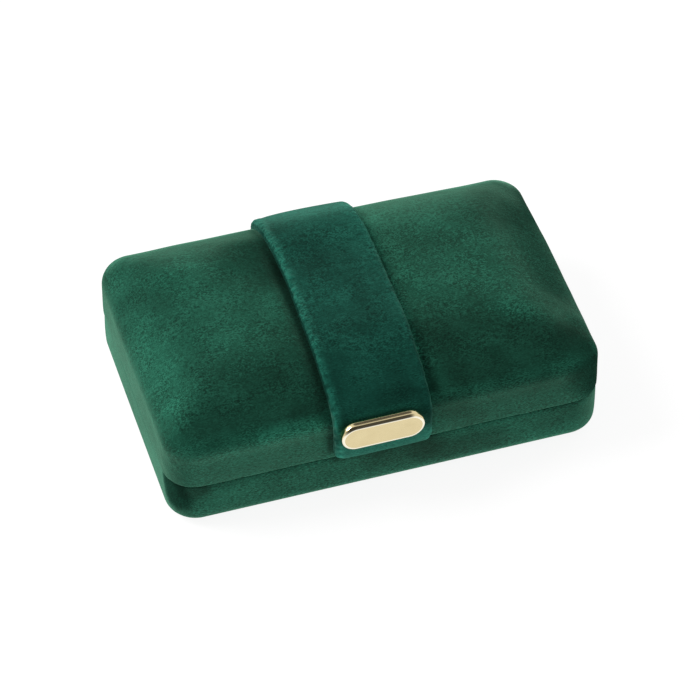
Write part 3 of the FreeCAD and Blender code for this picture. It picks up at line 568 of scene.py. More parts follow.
def lid_surface(flange=True):
    points, faces = dome_mesh(lid_outer_rings(flange), SX, SY, lambda xy: sample(HEIGHT, xy))
    nv = normals_of(points, faces)
    d = inset_of(points[:, 0], points[:, 1])
    high = smoothstep(20.0, 30.0, points[:, 2])
    move = (0.20 * lid_swell(points) + 0.05 * lid_ripple(points)) * (0.35 + 0.65 * high)
    # the strap presses the padding in, and a groove runs along both its edges
    off = np.abs(points[:, 0] - STRAP_MID)
    reach = np.where(points[:, 0] < STRAP_MID, 4.0, 1.2)
    under = 1 - smoothstep(STRAP_HALF - 0.9 + 0.3 * reach, STRAP_HALF + reach, off)
    under *= 1 - smoothstep(24.0, 34.0, points[:, 1]) * smoothstep(STRAP_HALF - 1.5, STRAP_HALF, off)
    move = move * (1 - under) - 0.8 * under * high
    # the far right corner is packed a little lower than the others
    move -= 1.0 * high * np.exp(-((points[:, 0] - 58.0) / 26.0) ** 2 - ((points[:, 1] - 40.0) / 24.0) ** 2)
    move *= smoothstep(18.9, 20.5, points[:, 2])
    points = points + nv * move[:, None]
    # a seam that isn't ruler straight, and room round the hinge barrels
    near_rim = 1 - smoothstep(19.5, 26.0, points[:, 2])
    points[:, 2] += 0.16 * rim_wave(points * (1, 1, 0)) * near_rim
    points[:, 2] += 0.12 * rim_fuzz(points * (1, 1, 0)) * (1 - smoothstep(19.4, 21.0, points[:, 2]))
    lift = hinge_span(points) * (1 - smoothstep(2.6, 4.3, d)) * (1 - smoothstep(19.7, 25.0, points[:, 2]))
    points[:, 2] += 1.95 * lift
    return points, faces


lid_points, lid_faces = lid_surface(True)
p, f = skin_of(lid_points, lid_faces, NRING, 0.0, 0.95)
# the front's pile is brushed down to a line along its upper edge, sharp beside
# the strap and softer towards the corners: below that line its normals lean down and its colour is painted lighter, a
# painted light on the front; the lid's lower rim is painted lighter, a painted highlight along the seam, and so is a
# band along the back edge
left_part = p[:, 0] < STRAP_MID
line_z = np.where(left_part, 37.0, 35.9 + 1.0 * smoothstep(36.0, 66.0, p[:, 0]))
line_soft = 0.9 + 3.4 * smoothstep(20.0, 60.0, np.abs(p[:, 0]))
front = smoothstep(0.74, 0.87, np.abs(p[:, 1]) / LY) * (1 - smoothstep(66.0, 74.0, np.abs(p[:, 0])))
low = (1 - smoothstep(0.0, 1.0, (p[:, 2] - line_z) / line_soft + 0.5)) * front
edge = low * smoothstep(28.0, 34.0, p[:, 2])
painted_light_and_nap = np.where(left_part, 0.55 * smoothstep(-56.0, -42.0, p[:, 0]), 0.1) * edge + np.where(left_part, 0.75, 0.65) * low + 0.25 * (1 - smoothstep(18.9, 20.2, p[:, 2]))
painted_light_and_nap += (0.36 + 0.15 * smoothstep(10.0, 20.0, p[:, 0])) * smoothstep(38.0, 46.0, p[:, 1]) * smoothstep(33.0, 36.0, p[:, 2])
down = np.where(left_part, 0.28, 0.22) * low + np.where(left_part, 0.3, 0.15) * edge
# painted shade in the crevice left of the strap: its colour is darkened there, most at the strap's edge, and the pile
# is pressed flat
off = STRAP_MID - STRAP_HALF - p[:, 0]
top_part = smoothstep(33.0, 38.0, p[:, 2]) * (off > -3.0)
far_part = smoothstep(12.0, 26.0, p[:, 1])
near_part = 1 - smoothstep(-42.0, -34.0, p[:, 1])
crevice_shade = (1.15 - 0.8 * far_part - 0.6 * near_part + 0.4 * np.exp(-((p[:, 1] - 5.0) / 8.0) ** 2)) * (1 - smoothstep(0.5, 2.7, off))
crevice_shade += (0.45 - 0.2 * far_part - 0.2 * near_part) * (1 - smoothstep(1.5, 6.0, off))
crevice_shade += (0.5 - 0.12 * far_part) * (1 - smoothstep(2.0, 13.0, off)) * smoothstep(-8.0, 20.0, p[:, 1])
painted_light_and_nap -= crevice_shade * top_part
flat = top_part * ((0.5 - 0.3 * far_part) * (1 - smoothstep(0.5, 3.0, off)) + 0.3 * (1 - smoothstep(2.0, 14.0, off)) * smoothstep(0.0, 22.0, p[:, 1]) * (1 - smoothstep(28.0, 38.0, p[:, 1])))
# painted light along the strap's right side, lighter where the strap's shadow falls, and the pile stands up there
past = p[:, 0] - STRAP_MID - STRAP_HALF
beside = (past > -2.0) * smoothstep(33.0, 38.0, p[:, 2])
painted_light_and_nap += beside * ((1.5 + 0.5 * (1 - smoothstep(-12.0, 4.0, p[:, 1])) + 0.7 * (1 - smoothstep(-22.0, -8.0, p[:, 1]))) * (1 - smoothstep(-0.4, 2.8, past))
                   + 0.4 * np.exp(-((past - 7.0) / 4.5) ** 2) * smoothstep(-20.0, -10.0, p[:, 1]) * (1 - smoothstep(0.0, 14.0, p[:, 1])))
stand = beside * 0.2 * (1 - smoothstep(0.0, 5.0, past)) * (1 - smoothstep(-10.0, 20.0, p[:, 1]))
# painted shade on the front shoulder, right of the strap, in front of a wavy line
shade_line_gap = np.interp(p[:, 0], (14.0, 27.0, 37.0, 46.0, 56.0, 66.0), (-21.0, -22.5, -22.6, -27.4, -32.0, -33.0)) - p[:, 1]
right_part = smoothstep(STRAP_MID + STRAP_HALF - 1.0, STRAP_MID + STRAP_HALF, p[:, 0]) * (p[:, 2] > line_z - 1.0)
painted_light_and_nap -= 0.5 * smoothstep(-0.8, 1.6, shade_line_gap) * (1 - 0.5 * smoothstep(4.0, 14.0, shade_line_gap)) * right_part * (1 - low)
# painted light and shade in patches: lighter where more light falls, as on the left slope, darker where less falls,
# as at the right end, and a dark line of painted shade beside the strap's tip; a few are patches of nap
painted_light_and_nap += strokes(p, (
    ((-34, 34, 43.0), (-24, 20, 45.5), 9.0, 6.0, -0.6),
    ((-69, 2, 39.0), (-69, -26, 38.0), 8.0, 6.0, 0.6),
    ((-60, -8, 43.5), (-61, -26, 42.5), 6.0, 5.0, 0.2),
    ((-70, 40, 36.5), (-70.5, 36, 36.5), 6.0, 5.0, 0.35),
    ((-66, 20, 41.0), (-61, 13, 43.3), 4.0, 3.5, -0.35),
    ((-51, 27, 43.0), (-50, 24, 43.6), 7.0, 6.0, 0.4),
    ((-70.4, 10, 38.1), (-66, 4, 41.0), 7.0, 5.0, 0.15),
    ((-52, 14, 45.5), (-44, -12, 46.5), 12.0, 9.0, 0.3),
    ((-46, -10, 46.6), (-38, -14, 46.8), 6.0, 5.0, 0.15),
    ((-69, 32, 39.0), (-67, 22, 40.5), 5.0, 4.0, 0.15),
    ((-61, -36, 41.0), (-59, -36, 41.5), 6.0, 5.0, -0.3),
    ((-72.7, -37.6, 35.6), (-73.5, -36.0, 33.0), 3.0, 2.5, 0.3),
    ((-54, -43.5, 37.4), (-48, -43.5, 37.4), 3.5, 3.0, 0.2),
    ((28, 24, 46.0), (44, -10, 46.5), 17.0, 10.0, 0.35),
    ((42, -3, 46.5), (50, -6, 46.3), 8.0, 6.0, 0.2),
    ((61, 22, 42.5), (64, 31, 41.0), 10.0, 7.0, -0.5),
    ((73.8, 30, 33.8), (73.5, 22, 35.0), 6.0, 4.0, -0.45),
    ((68.6, -15, 39.0), (68.0, -33, 39.0), 5.0, 4.0, -0.25),
    ((73.2, -40.2, 34.0), (74.2, -37.5, 30.0), 2.2, 1.8, 0.7),
    ((60, -46.5, 33.6), (65, -45.8, 33.2), 3.2, 2.8, 0.3),
    ((68, -46.5, 29.5), (72, -43, 23.0), 6.0, 4.0, -0.85),
    ((36, -48, 31.0), (64, -47.3, 31.5), 3.2, 2.6, -0.5),
    ((28, -42, 38.2), (36, -42.5, 38.0), 5.0, 4.0, -0.25),
    ((66, -36, 40.0), (70, -34, 38.0), 5.0, 4.0, -0.25),
    ((46, -33, 43.5), (64, -34, 41.0), 4.5, 4.0, -0.2),
    ((-59, -20, 44.0), (-55, -25, 44.3), 6.0, 5.0, -0.2),
    ((-62, 2, 43.0), (-60, -4, 43.5), 5.0, 4.0, -0.15),
    ((45, -23.5, 45.8), (69, -30.5, 38.8), 3.4, 3.0, 0.35),
    ((58, -20.0, 44.0), (70, -22.0, 38.0), 3.4, 3.0, -0.3),
    ((-71, -44.5, 32.6), (-54, -47.3, 32.4), 2.0, 1.8, 0.4),
    ((-70, -34, 38.3), (-69, -30, 38.8), 4.0, 3.2, 0.35),
    ((-68, -41, 37.6), (-48, -43.6, 37.4), 2.4, 2.0, -0.25),
    ((-30, -43.3, 38.0), (-24, -43.6, 37.8), 2.6, 2.2, -0.5),
    ((14.2, -35, 43.6), (14.5, -44, 38.0), 1.8, 1.4, -0.9),
    ((18.2, -36, 43.0), (18.8, -44, 37.6), 1.9, 1.6, 0.42),
    ((24.5, -40, 41.0), (25.5, -44, 38.0), 2.6, 2.2, -0.25),
    ((-20.7, -48, 34.0), (-20.7, -48, 22.0), 1.0, 0.8, -1.4),
    ((-43, -46.9, 34.0), (-24, -46.9, 34.2), 1.8, 1.4, 0.35),
    ((-44, -43.8, 37.6), (-33, -43.9, 37.8), 2.0, 1.6, -0.25),
    ((-57, -48, 22.0), (-45, -48, 22.0), 2.6, 2.2, -0.22),
    ((-62, 8, 43.0), (-57, -18, 44.5), 5.0, 4.0, -0.12),
    ((-45, -30, 44.3), (-36, -31, 44.0), 4.0, 3.2, -0.16),
    ((24, 20, 46.0), (30, 8, 47.0), 6.0, 5.0, -0.15),
    ((-25, 3, 46.0), (-25, -6, 46.3), 4.0, 3.5, 0.25),
    ((-31, -31, 44.0), (-25, -32.5, 43.5), 4.0, 3.5, -0.22),
    ((57, 36, 41.0), (57, 31, 42.5), 5.0, 4.0, -0.35),
    ((52, 20, 45.0), (58, 18, 44.0), 7.0, 6.0, -0.28),
    ((27, -20, 47.0), (36, -20, 47.0), 6.0, 5.0, -0.2),
    ((-34, 14, 46.5), (-33, 10, 46.8), 4.0, 3.5, -0.2),
    ((20, -45.5, 36.2), (23, -45.8, 35.8), 2.5, 2.0, 0.4),
    ((16, 44, 38.0), (18, 30, 43.0), 4.0, 3.0, 0.35),
    ((-50, -25, 45.5), (-28, -25, 45.8), 7.0, 5.0, -0.15),
    ((-50, -38, 40.5), (-26, -39, 40.5), 5.0, 4.0, -0.2),
    ((-38, -31, 44.2), (-27, -31, 44.2), 5.0, 4.0, -0.12),
    ((17, -48, 33.0), (22, -48, 30.0), 5.0, 3.5, -0.55),
    ((23, -48, 30.0), (28, -48, 23.0), 6.0, 4.0, -0.4),
    ((52, -48, 28.0), (60, -47, 28.0), 6.0, 4.0, -0.2),
))
against = flat - stand + strokes(p, (
    ((68, 20, 39.5), (68, -12, 39.5), 7.0, 6.0, 0.4),
    ((-30, 27, 44.0), (-33, 20, 44.8), 6.0, 5.0, 0.25),
    ((-66, 46, 33.0), (66, 46, 33.0), 4.0, 3.0, -0.12),
    ((70, -45, 31.0), (72, -44, 23.0), 7.0, 5.0, 0.65),
    ((69, -37, 38.5), (70, -33, 38.0), 5.0, 4.0, 0.3),
    ((73.5, 33, 33.5), (73.5, 24, 34.5), 4.0, 3.5, 0.35),
    ((-69, 2, 39.0), (-69, -26, 38.0), 8.0, 6.0, -0.1),
))
lean = down[:, None] * DOWN - against[:, None] * FAR
facing = front * (1 - smoothstep(31.5, 36.0, p[:, 2]))
lid_cover = make("lid_velvet", p, f, box_velvet, lean=lean, painted_light_and_nap=painted_light_and_nap,
                 comb=0.85 * facing + 0.5 * front * (1 - facing), gain=0.9 * facing - 0.3 * front * (1 - facing) + 0.25 * (p[:, 0] > 14.0) * (1 - front))
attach(lid_cover, "lid")
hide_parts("lid_cover")

inner_points, inner_faces = dome_mesh(lid_outer_rings(False), SX, SY, lambda xy: sample(HEIGHT, xy))
p, f = skin_of(inner_points, inner_faces, NRING, 4.8, 5.55, 0.3)
# the corners curve tighter than the lining's depth, so both faces are evened out there
loose = np.linalg.norm(np.abs(inner_points) - (66.5, 38.5, 38.0), axis=1)
loose = 1 - smoothstep(7.0, 13.0, loose)
for first in (0, len(inner_points)):
    last = first + len(inner_points)
    p[first:last] = relaxed(p[first:last], inner_faces, loose, 60)
lid_lining = make("lid_lining_velvet", p, f, inside_velvet)
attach(lid_lining, "lid")
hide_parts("lid_lining")

# the foam between cover and shell, which the cover lies on
p, f = skin_of(inner_points, inner_faces, NRING, 1.25, 2.45, 0.2)
p[:, 2] = np.where(p[:, 2] < 24.0, 24.0 - (24.0 - p[:, 2]) * 0.76, p[:, 2])
lid_padding = make("lid_padding_foam", p, f, foam)
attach(lid_padding, "lid")
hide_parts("lid_padding")

# ------------------------------------------------------------------ the base wrap
BX, BY, BR = 74.5, 47.5, 10.5
BASE_TOP = 18.5


def profile_skin(path, thick):
    """A closed loop round an open (inset, z) path, thick on its inner side."""
    path = np.asarray(path, float)
    step = np.gradient(path, axis=0)
    step /= np.linalg.norm(step, axis=1)[:, None]
    inward = np.column_stack([-step[:, 1], step[:, 0]])
    return np.concatenate([path, (path + inward * thick)[::-1]])


def swept(rows, r, loop):
    n = len(rows)
    rings = [ring_points(rows, r, d, z) for d, z in loop]
    faces = []
    for k in range(len(rings)):
        faces += band_faces(k * n, ((k + 1) % len(rings)) * n, n)
    return np.concatenate(rings), faces


base_rows = outline(BX, BY, BR, NX, NY, NK)
roll = 0.5
path = [(3.5, BASE_TOP), (2.9, BASE_TOP), (2.1, BASE_TOP), (1.4, BASE_TOP)]
path += [(roll * (1 - math.sin(a)), BASE_TOP - roll * (1 - math.cos(a))) for a in np.radians([0, 18, 36, 54, 72, 90])]
path += [(-0.12 * math.sin(math.pi * (z - 5.3) / 12.3), z) for z in np.linspace(17.0, 5.3, 13)]
path += [(5.0 * (1 - math.cos(a)), 5.3 - 5.0 * math.sin(a)) for a in np.radians(np.linspace(8, 90, 11))]
path += [(5.4, 0.3), (5.8, 0.3)]
p, f = swept(base_rows, BR, profile_skin(path, 0.9))
d = BR - np.hypot(np.maximum(np.abs(p[:, 0]) - (BX - BR), 0), np.maximum(np.abs(p[:, 1]) - (BY - BR), 0))
d = np.where((np.abs(p[:, 0]) > BX - BR) & (np.abs(p[:, 1]) > BY - BR), d,
             np.minimum(BX - np.abs(p[:, 0]), BY - np.abs(p[:, 1])))
near_rim = smoothstep(11.0, 17.5, p[:, 2])
p[:, 2] += 0.16 * rim_wave(p * (1, 1, 0)) * near_rim
p[:, 2] += 0.12 * rim_fuzz(p * (1, 1, 0)) * smoothstep(16.2, 17.8, p[:, 2])
drop = hinge_span(p) * (1 - smoothstep(2.3, 3.4, d)) * smoothstep(11.5, 17.3, p[:, 2])
p[:, 2] -= 1.95 * drop
out = np.column_stack([p[:, 0] / BX ** 2, p[:, 1] / BY ** 2, np.zeros(len(p))])
out /= np.linalg.norm(out, axis=1)[:, None]
bow = waves(21, 40.0, 90.0)
p += out * (0.1 * bow(p) * smoothstep(2.0, 8.0, p[:, 2]) * (1 - smoothstep(12.0, 17.0, p[:, 2])))[:, None]
outside = (d < 0.7) & (p[:, 2] > 0.35)
p += out * (0.3 * outside * smoothstep(1.0, 7.0, p[:, 2]) * (1 - 0.5 * smoothstep(16.5, 18.2, p[:, 2])))[:, None]
# painted light and shade: the front and back faces are painted lighter, with painted shade in a band under the lid's
# rim, under the lid's front-left corner and below the strap's tip, and painted light along the front's bottom edge; a
# few patches are lighter or darker
painted_light_and_nap = 0.1 + 0.85 * np.abs(out[:, 1]) ** 1.5 - 0.2 * smoothstep(16.9, 17.9, p[:, 2]) + strokes(p, (
    ((-73.5, -42, 17.0), (-72.0, -44.5, 11.5), 5.0, 2.2, -1.5),
    ((-69.5, -46.0, 16.4), (-65, -47.3, 17.2), 3.2, 1.8, -1.2),
    ((-64, -47.6, 17.8), (-52, -48, 17.9), 1.5, 1.2, -0.3),
    ((-19, -48, 17.7), (12, -48, 17.7), 1.8, 1.3, -0.9),
    ((50, -47.5, 5.0), (67, -47.0, 5.5), 3.4, 2.8, 0.35),
    ((-58, -48, 11.0), (-48, -48, 11.5), 4.0, 3.0, 0.2),
    ((-68.4, -47, 10.0), (-64, -47.5, 8.0), 4.0, 3.0, 0.3),
    ((-4, -48, 14.0), (12, -48, 13.0), 5.0, 4.0, -1.05),
    ((13, -48, 13.0), (20, -48, 10.0), 5.5, 4.0, -1.0),
    ((29, -48, 11.0), (36, -48, 10.0), 4.5, 3.0, -0.8),
    ((-60, -46, 1.5), (60, -46, 1.5), 3.0, 2.5, 0.45),
    ((58, -47.8, 14.0), (71, -45, 14.0), 5.5, 4.0, -0.5),
))
ruffled = strokes(p, (((-73.5, -42, 17.5), (-72.5, -44, 12.0), 5.0, 2.2, 1.0),))
lean = (0.1 * np.abs(out[:, 1]) ** 1.5 * (1 - ruffled) - 0.7 * ruffled)[:, None] * DOWN
front = np.abs(out[:, 1]) ** 1.5
base_cover = make("base_velvet", p, f, box_velvet, lean=lean, painted_light_and_nap=painted_light_and_nap, comb=0.7 * front, gain=0.8 * front)
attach(base_cover, "base")
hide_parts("base_cover")

# the sheet under the base, with a softly pressed edge
SHX, SHY, SHR = 68.5, 41.5, 4.5
sheet_rows = outline(SHX, SHY, SHR, 64, 38, 8)
rings = [ring_points(sheet_rows, SHR, d, z) for d, z in
         ((1.6, 0.0), (0.8, 0.02), (0.3, 0.12), (0.05, 0.32), (0.0, 0.5), (0.05, 0.7), (0.3, 0.88), (0.8, 0.97), (1.6, 1.0))]
top_p, top_f = dome_mesh(rings, 72, 46)
grid, full = patch(rings[0], 72, 46)
index = np.where(grid >= 0, grid, -1)
inner = np.argwhere(grid < 0)
index[inner[:, 0], inner[:, 1]] = len(top_p) + np.arange(len(inner))
low_f = [(index[i, j], index[i, j + 1], index[i + 1, j + 1], index[i + 1, j]) for i in range(72) for j in range(46)]
p = np.concatenate([top_p, full[inner[:, 0], inner[:, 1]]])
bottom_sheet = make("bottom_sheet_velvet", p, top_f + low_f, inside_velvet)
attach(bottom_sheet, "base")
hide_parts("base_bottom_sheet")

# the lining of the base's wall
loop = [(3.8, 4.8), (3.8, 18.0), (3.92, 18.32), (4.17, 18.42), (4.42, 18.32), (4.54, 18.0)]
loop += [(4.55, z) for z in np.linspace(17.0, 4.8, 8)]
lining_rows = outline(BX, BY, BR, 64, 38, 12)
p, f = swept(lining_rows, BR, loop)
p[:, 2] += 0.16 * rim_wave(p * (1, 1, 0)) * smoothstep(11.0, 17.5, p[:, 2])
base_lining = make("base_lining_velvet", p, f, inside_velvet)
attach(base_lining, "base")
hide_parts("base_lining")


# ------------------------------------------------------------------ the ring rolls
def roll_piece(k):
    """A velvet bolster: flat below, half round above, with soft closed ends."""
    lo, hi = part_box("ring_roll_%d" % (k + 1))
    x0, x1 = lo.x / MM + 0.05, hi.x / MM - 0.05
    y0, y1 = lo.y / MM, hi.y / MM
    z0, z1 = lo.z / MM, hi.z / MM
    mid_y, half, spring = (y0 + y1) / 2, (y1 - y0) / 2, z1 - (y1 - y0) / 2
    section = [(t, z0) for t in np.linspace(-half + 1.2, half - 1.2, 7)]
    section += [(half - 1.2 + 1.2 * math.sin(a), z0 + 1.2 - 1.2 * math.cos(a)) for a in np.radians([30, 60, 90])]
    section += [(half, z) for z in np.linspace(z0 + 2.2, spring, 5)]
    section += [(half * math.cos(a), spring + half * math.sin(a)) for a in np.radians(np.linspace(9, 171, 19))]
    section += [(-half, z) for z in np.linspace(spring, z0 + 2.2, 5)]
    section += [(-half + 1.2 - 1.2 * math.sin(a), z0 + 1.2 - 1.2 * math.cos(a)) for a in np.radians([90, 60, 30])]
    section = np.array(section)
    hub = np.array([0.0, (z0 + z1) / 2 - 0.5])
    cap = 3.2
    stations = []
    for a in np.radians([8, 24, 40, 56, 72, 90]):
        stations.append((cap * (1 - math.sin(a)), 1 - 0.42 * (1 - math.sin(a)) - 0.12 * (1 - math.sin(a)) ** 3))
    stations = [(x0 + (e if i else e), s) for i, (e, s) in enumerate(stations)]
    body = [(x, 1.0) for x in np.linspace(x0 + cap + 1.6, x1 - cap - 1.6, 78)]
    tail = [(x1 - (x - x0), s) for x, s in reversed(stations)]
    rows = stations + body + tail
    soft = waves(100 + k, 18.0, 60.0)
    points, faces, m = [], [], len(section)
    for x, s in rows:
        q = hub + (section - hub) * np.array([0.5 + 0.5 * s, s]) if s < 1 else section
        q = np.column_stack([np.full(m, x), q[:, 0] + mid_y, np.maximum(q[:, 1], z0)])
        points.append(q)
    points = np.concatenate(points)
    swell = 0.14 * soft(points) * smoothstep(z0 + 1.0, z0 + 6.0, points[:, 2])
    side = np.column_stack([np.zeros(len(points)), points[:, 1] - mid_y, points[:, 2] - hub[1]])
    side /= np.maximum(np.linalg.norm(side, axis=1), 1e-6)[:, None]
    points += side * (swell - 0.1)[:, None]
    points[:, 2] = np.maximum(points[:, 2], z0)
    for r in range(len(rows) - 1):
        faces += [(r * m + i, r * m + (i + 1) % m, (r + 1) * m + (i + 1) % m, (r + 1) * m + i) for i in range(m)]
    faces.append(tuple(range(m)))
    faces.append(tuple(reversed(range((len(rows) - 1) * m, len(rows) * m))))
    obj = make("ring_roll_velvet_%d" % (k + 1), points, faces, inside_velvet)
    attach(obj, "base")
    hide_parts("ring_roll_%d" % (k + 1), "ring_roll_foam_%d" % (k + 1))
    return obj


rolls = [roll_piece(k) for k in range(6)]

# ------------------------------------------------------------------- the lid's pad
PX, PY, PR = 58.0, 27.0, 8.0
pad_rows = outline(PX, PY, PR, 70, 30, 10)
lo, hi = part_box("lid_pad")
pz0, pz1 = lo.z / MM, hi.z / MM
rings = []
pad_edge = [(6.0, pz1), (2.0, pz1), (0.7, pz1 - 0.35), (0.12, pz1 - 1.2), (0.0, pz1 - 2.1), (0.2, pz1 - 2.9),
           (0.8, pz1 - 3.55), (1.8, pz1 - 3.95), (3.2, pz1 - 4.25), (4.8, pz1 - 4.5), (6.4, pz1 - 4.66)]
for d, z in pad_edge:
    rings.append(ring_points(pad_rows, PR, d, z))
rings = rings[::-1]


def pad_low(xy):
    e = np.minimum(PX - np.abs(xy[:, 0]), PY - np.abs(xy[:, 1]))
    return pz1 - 4.66 - 0.34 * (1 - np.exp(-np.maximum(e - 6.4, 0) / 5.0))


flip = [r[::-1] for r in rings]
n = len(pad_rows)
pts = list(rings[::-1])
pad_points = np.concatenate(pts)
pad_faces = []
for k in range(len(pts) - 1):
    pad_faces += band_faces(k * n, (k + 1) * n, n)
grid, full = patch(rings[0], 80, 40)
index = np.where(grid >= 0, grid + (len(pts) - 1) * n, -1)
inner = np.argwhere(grid < 0)
fresh = full[inner[:, 0], inner[:, 1]].copy()
fresh[:, 2] = pad_low(fresh[:, :2])
index[inner[:, 0], inner[:, 1]] = len(pad_points) + np.arange(len(inner))
pad_faces += [(index[i, j], index[i + 1, j], index[i + 1, j + 1], index[i, j + 1]) for i in range(80) for j in range(40)]
pad_points = np.concatenate([pad_points, fresh])
pad_faces.append(tuple(range(n)))
pull = waves(31, 25.0, 60.0)
edge_pull = 0.5 * np.sin(np.pi * np.clip((pad_points[:, 0] + PX) / (2 * PX), 0, 1))
pad_points[:, 1] -= np.sign(pad_points[:, 1]) * edge_pull * smoothstep(PY - 6, PY, np.abs(pad_points[:, 1]))
side_pull = 0.4 * np.sin(np.pi * np.clip((pad_points[:, 1] + PY) / (2 * PY), 0, 1))
pad_points[:, 0] -= np.sign(pad_points[:, 0]) * side_pull * smoothstep(PX - 6, PX, np.abs(pad_points[:, 0]))
pad_points[:, 2] += 0.1 * pull(pad_points) * smoothstep(pz1 - 2.0, pz1 - 4.0, pad_points[:, 2])
lid_pad = make("lid_pad_velvet", pad_points, pad_faces, inside_velvet)
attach(lid_pad, "lid")
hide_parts("lid_pad", "lid_pad_foam")

# ----------------------------------------------------------------- the strap band
GAP_FIXED, GAP_FLAP = 0.15, 0.3
THICK, EDGE_THICK = 3.1, 2.75
TIP_LOW, TAIL_LOW, TIP_ROUND = 19.5, 19.1, 3.5
path = []                               # centre y, z, radius, angle of each station


def arc(cy, cz, r, a0, a1, step=0.5):
    n = max(2, int(round(abs(a1 - a0) * (r + 1.7) / step)))
    for i in range(n):
        path.append((cy, cz, r, a0 + (a1 - a0) * i / n))


def wall(y, z0, z1, angle, step=0.5):
    n = max(2, int(round(abs(z1 - z0) / step)))
    for i in range(n):
        path.append((y, z0 + (z1 - z0) * i / n, 0.0, angle))


def close_ends(low, high, n=7, width=1.6):
    """Stations packed towards a rounded end."""
    return [low + width * (1 - math.cos(t)) for t in np.linspace(0, math.pi / 2, n)][:-1]


for z in close_ends(TIP_LOW, 0):
    path.append((-LY, z, 0.0, math.pi))
ez, er, sz, sr, sm = (SEC_Y[k] for k in ("edge_z", "edge", "shoulder_z", "shoulder", "mid"))
a_edge, a_crown, cr = SEC_Y["a_edge"], SEC_Y["a_crown"], SEC_Y["crown"]
wall(-LY, TIP_LOW + 1.6, ez, math.pi)
arc(-(LY - er), ez, er, math.pi, math.pi - a_edge)
arc(-sm, sz, sr, math.pi - a_edge, math.pi - a_crown)
arc(0.0, CROWN - cr, cr, math.pi - a_crown, a_crown)
arc(sm, sz, sr, a_crown, a_edge)
arc(LY - er, ez, er, a_edge, 0.0)
wall(LY, ez, TAIL_LOW + 1.6, 0.0)
for z in reversed(close_ends(TAIL_LOW, 0)):
    path.append((LY, z, 0.0, 0.0))
path = np.array(path)
root = math.pi / 2 + math.radians(30.0)     # the flap turns about this radial line
on_flap = np.where(path[:, 0] < -30, 1.0, 0.0)
shoulder_part = (path[:, 0] == -sm)
on_flap = np.where(shoulder_part, smoothstep(root - 0.2, root + 0.2, path[:, 3]), on_flap)
gap = GAP_FIXED + (GAP_FLAP - GAP_FIXED) * on_flap
ay, az = np.cos(path[:, 3]), np.sin(path[:, 3])
mid_line = np.column_stack([path[:, 0] + (path[:, 2] + gap + 1.5) * ay, path[:, 1] + (path[:, 2] + gap + 1.5) * az])
along = np.concatenate([[0], np.cumsum(np.linalg.norm(np.diff(mid_line, axis=0), axis=1))])
total = along[-1]


SKIRT = 0.55                             # how far the edges reach into the padding


def strap_section(half, squash):
    """The band's cross-section: flat below, softly crowned above.  Its left edge is
    rolled wide, its right edge is pressed tighter."""
    low = 0.45
    left_in, left_up, right_in, right_up = 1.9, 1.9, 1.6, 1.5
    low_z = -SKIRT
    pts = [(x, low_z) for x in np.linspace(-half + low, half - low, 25)]
    pts += [(half - low + low * math.sin(a), low_z + low - low * math.cos(a)) for a in np.radians([30, 60, 90])]
    pts += [(half, z) for z in np.linspace(low_z + low, EDGE_THICK - right_up, 4)[1:-1]]
    pts += [(half - right_in + right_in * math.cos(a), EDGE_THICK - right_up + right_up * math.sin(a))
            for a in np.radians([4, 20, 36, 52, 68, 86])]
    for x in np.linspace(half - right_in, -half + left_in, 37)[1:-1]:
        u = min(1.0, abs(x) / (half - right_in))
        hem = 0.16 * math.exp(-((x + half - 1.9) / 0.9) ** 2) - 0.1 * math.exp(-((x + half - 4.2) / 1.0) ** 2)
        pts.append((x, EDGE_THICK + (THICK - EDGE_THICK) * (1 - u ** 2.4) + hem))
    pts += [(-half + left_in + left_in * math.cos(a), EDGE_THICK - left_up + left_up * math.sin(a))
            for a in np.radians([92, 104, 118, 132, 146, 160, 174])]
    pts += [(-half, z) for z in np.linspace(EDGE_THICK - left_up, low_z + low, 4)[1:-1]]
    pts += [(-half + low - low * math.sin(a), low_z + low - low * math.cos(a)) for a in np.radians([90, 60, 30])]
    pts = np.array(pts)
    pts[:, 1] = 1.35 + (pts[:, 1] - 1.35) * squash
    return pts


strap_points, strap_pile = [], []
edge_wave = waves(41, 16.0, 45.0)
for i in range(len(path)):
    e0, e1 = along[i], total - along[i]
    half = STRAP_HALF
    if e0 < TIP_ROUND:
        half -= TIP_ROUND - math.sqrt(TIP_ROUND ** 2 - (TIP_ROUND - e0) ** 2)
    if e1 < 1.5:
        half -= 1.5 - math.sqrt(1.5 ** 2 - (1.5 - e1) ** 2)
    e = min(e0, e1)
    squash = 1.0 if e >= 1.6 else max(0.1, math.sqrt(max(0.0, 1 - (1 - e / 1.6) ** 2)))
    s = strap_section(half, squash)
    o = path[i, 2] + gap[i] + s[:, 1]
    strap_points.append(np.column_stack([STRAP_MID + s[:, 0], path[i, 0] + o * ay[i], path[i, 1] + o * az[i]]))
    strap_pile.append(np.column_stack([s[:, 0], np.full(len(s), along[i]), s[:, 1]]))
M = len(strap_points[0])
strap_points, strap_pile = np.concatenate(strap_points), np.concatenate(strap_pile)
strap_faces = []
for r in range(len(path) - 1):
    strap_faces += [(r * M + i, r * M + (i + 1) % M, (r + 1) * M + (i + 1) % M, (r + 1) * M + i) for i in range(M)]
swell = waves(42, 14.0, 40.0)
upper = smoothstep(1.2, 2.6, strap_pile[:, 2])
drift = np.sign(strap_pile[:, 0]) * smoothstep(12.0, 16.8, np.abs(strap_pile[:, 0]))
strap_points[:, 0] += 0.16 * edge_wave(strap_pile * (0.2, 1, 0)) * np.abs(drift)
wander = 0.08 + 0.27 * smoothstep(-22.0, -6.0, strap_points[:, 1]) + 0.35 * np.exp(-((strap_points[:, 1] - 2.0) / 12.0) ** 2)
wander += 0.2 * np.exp(-((strap_points[:, 1] + 43.0) / 5.0) ** 2)
strap_points[:, 0] += wander * (1 - smoothstep(-16.8, -8.0, strap_pile[:, 0]))
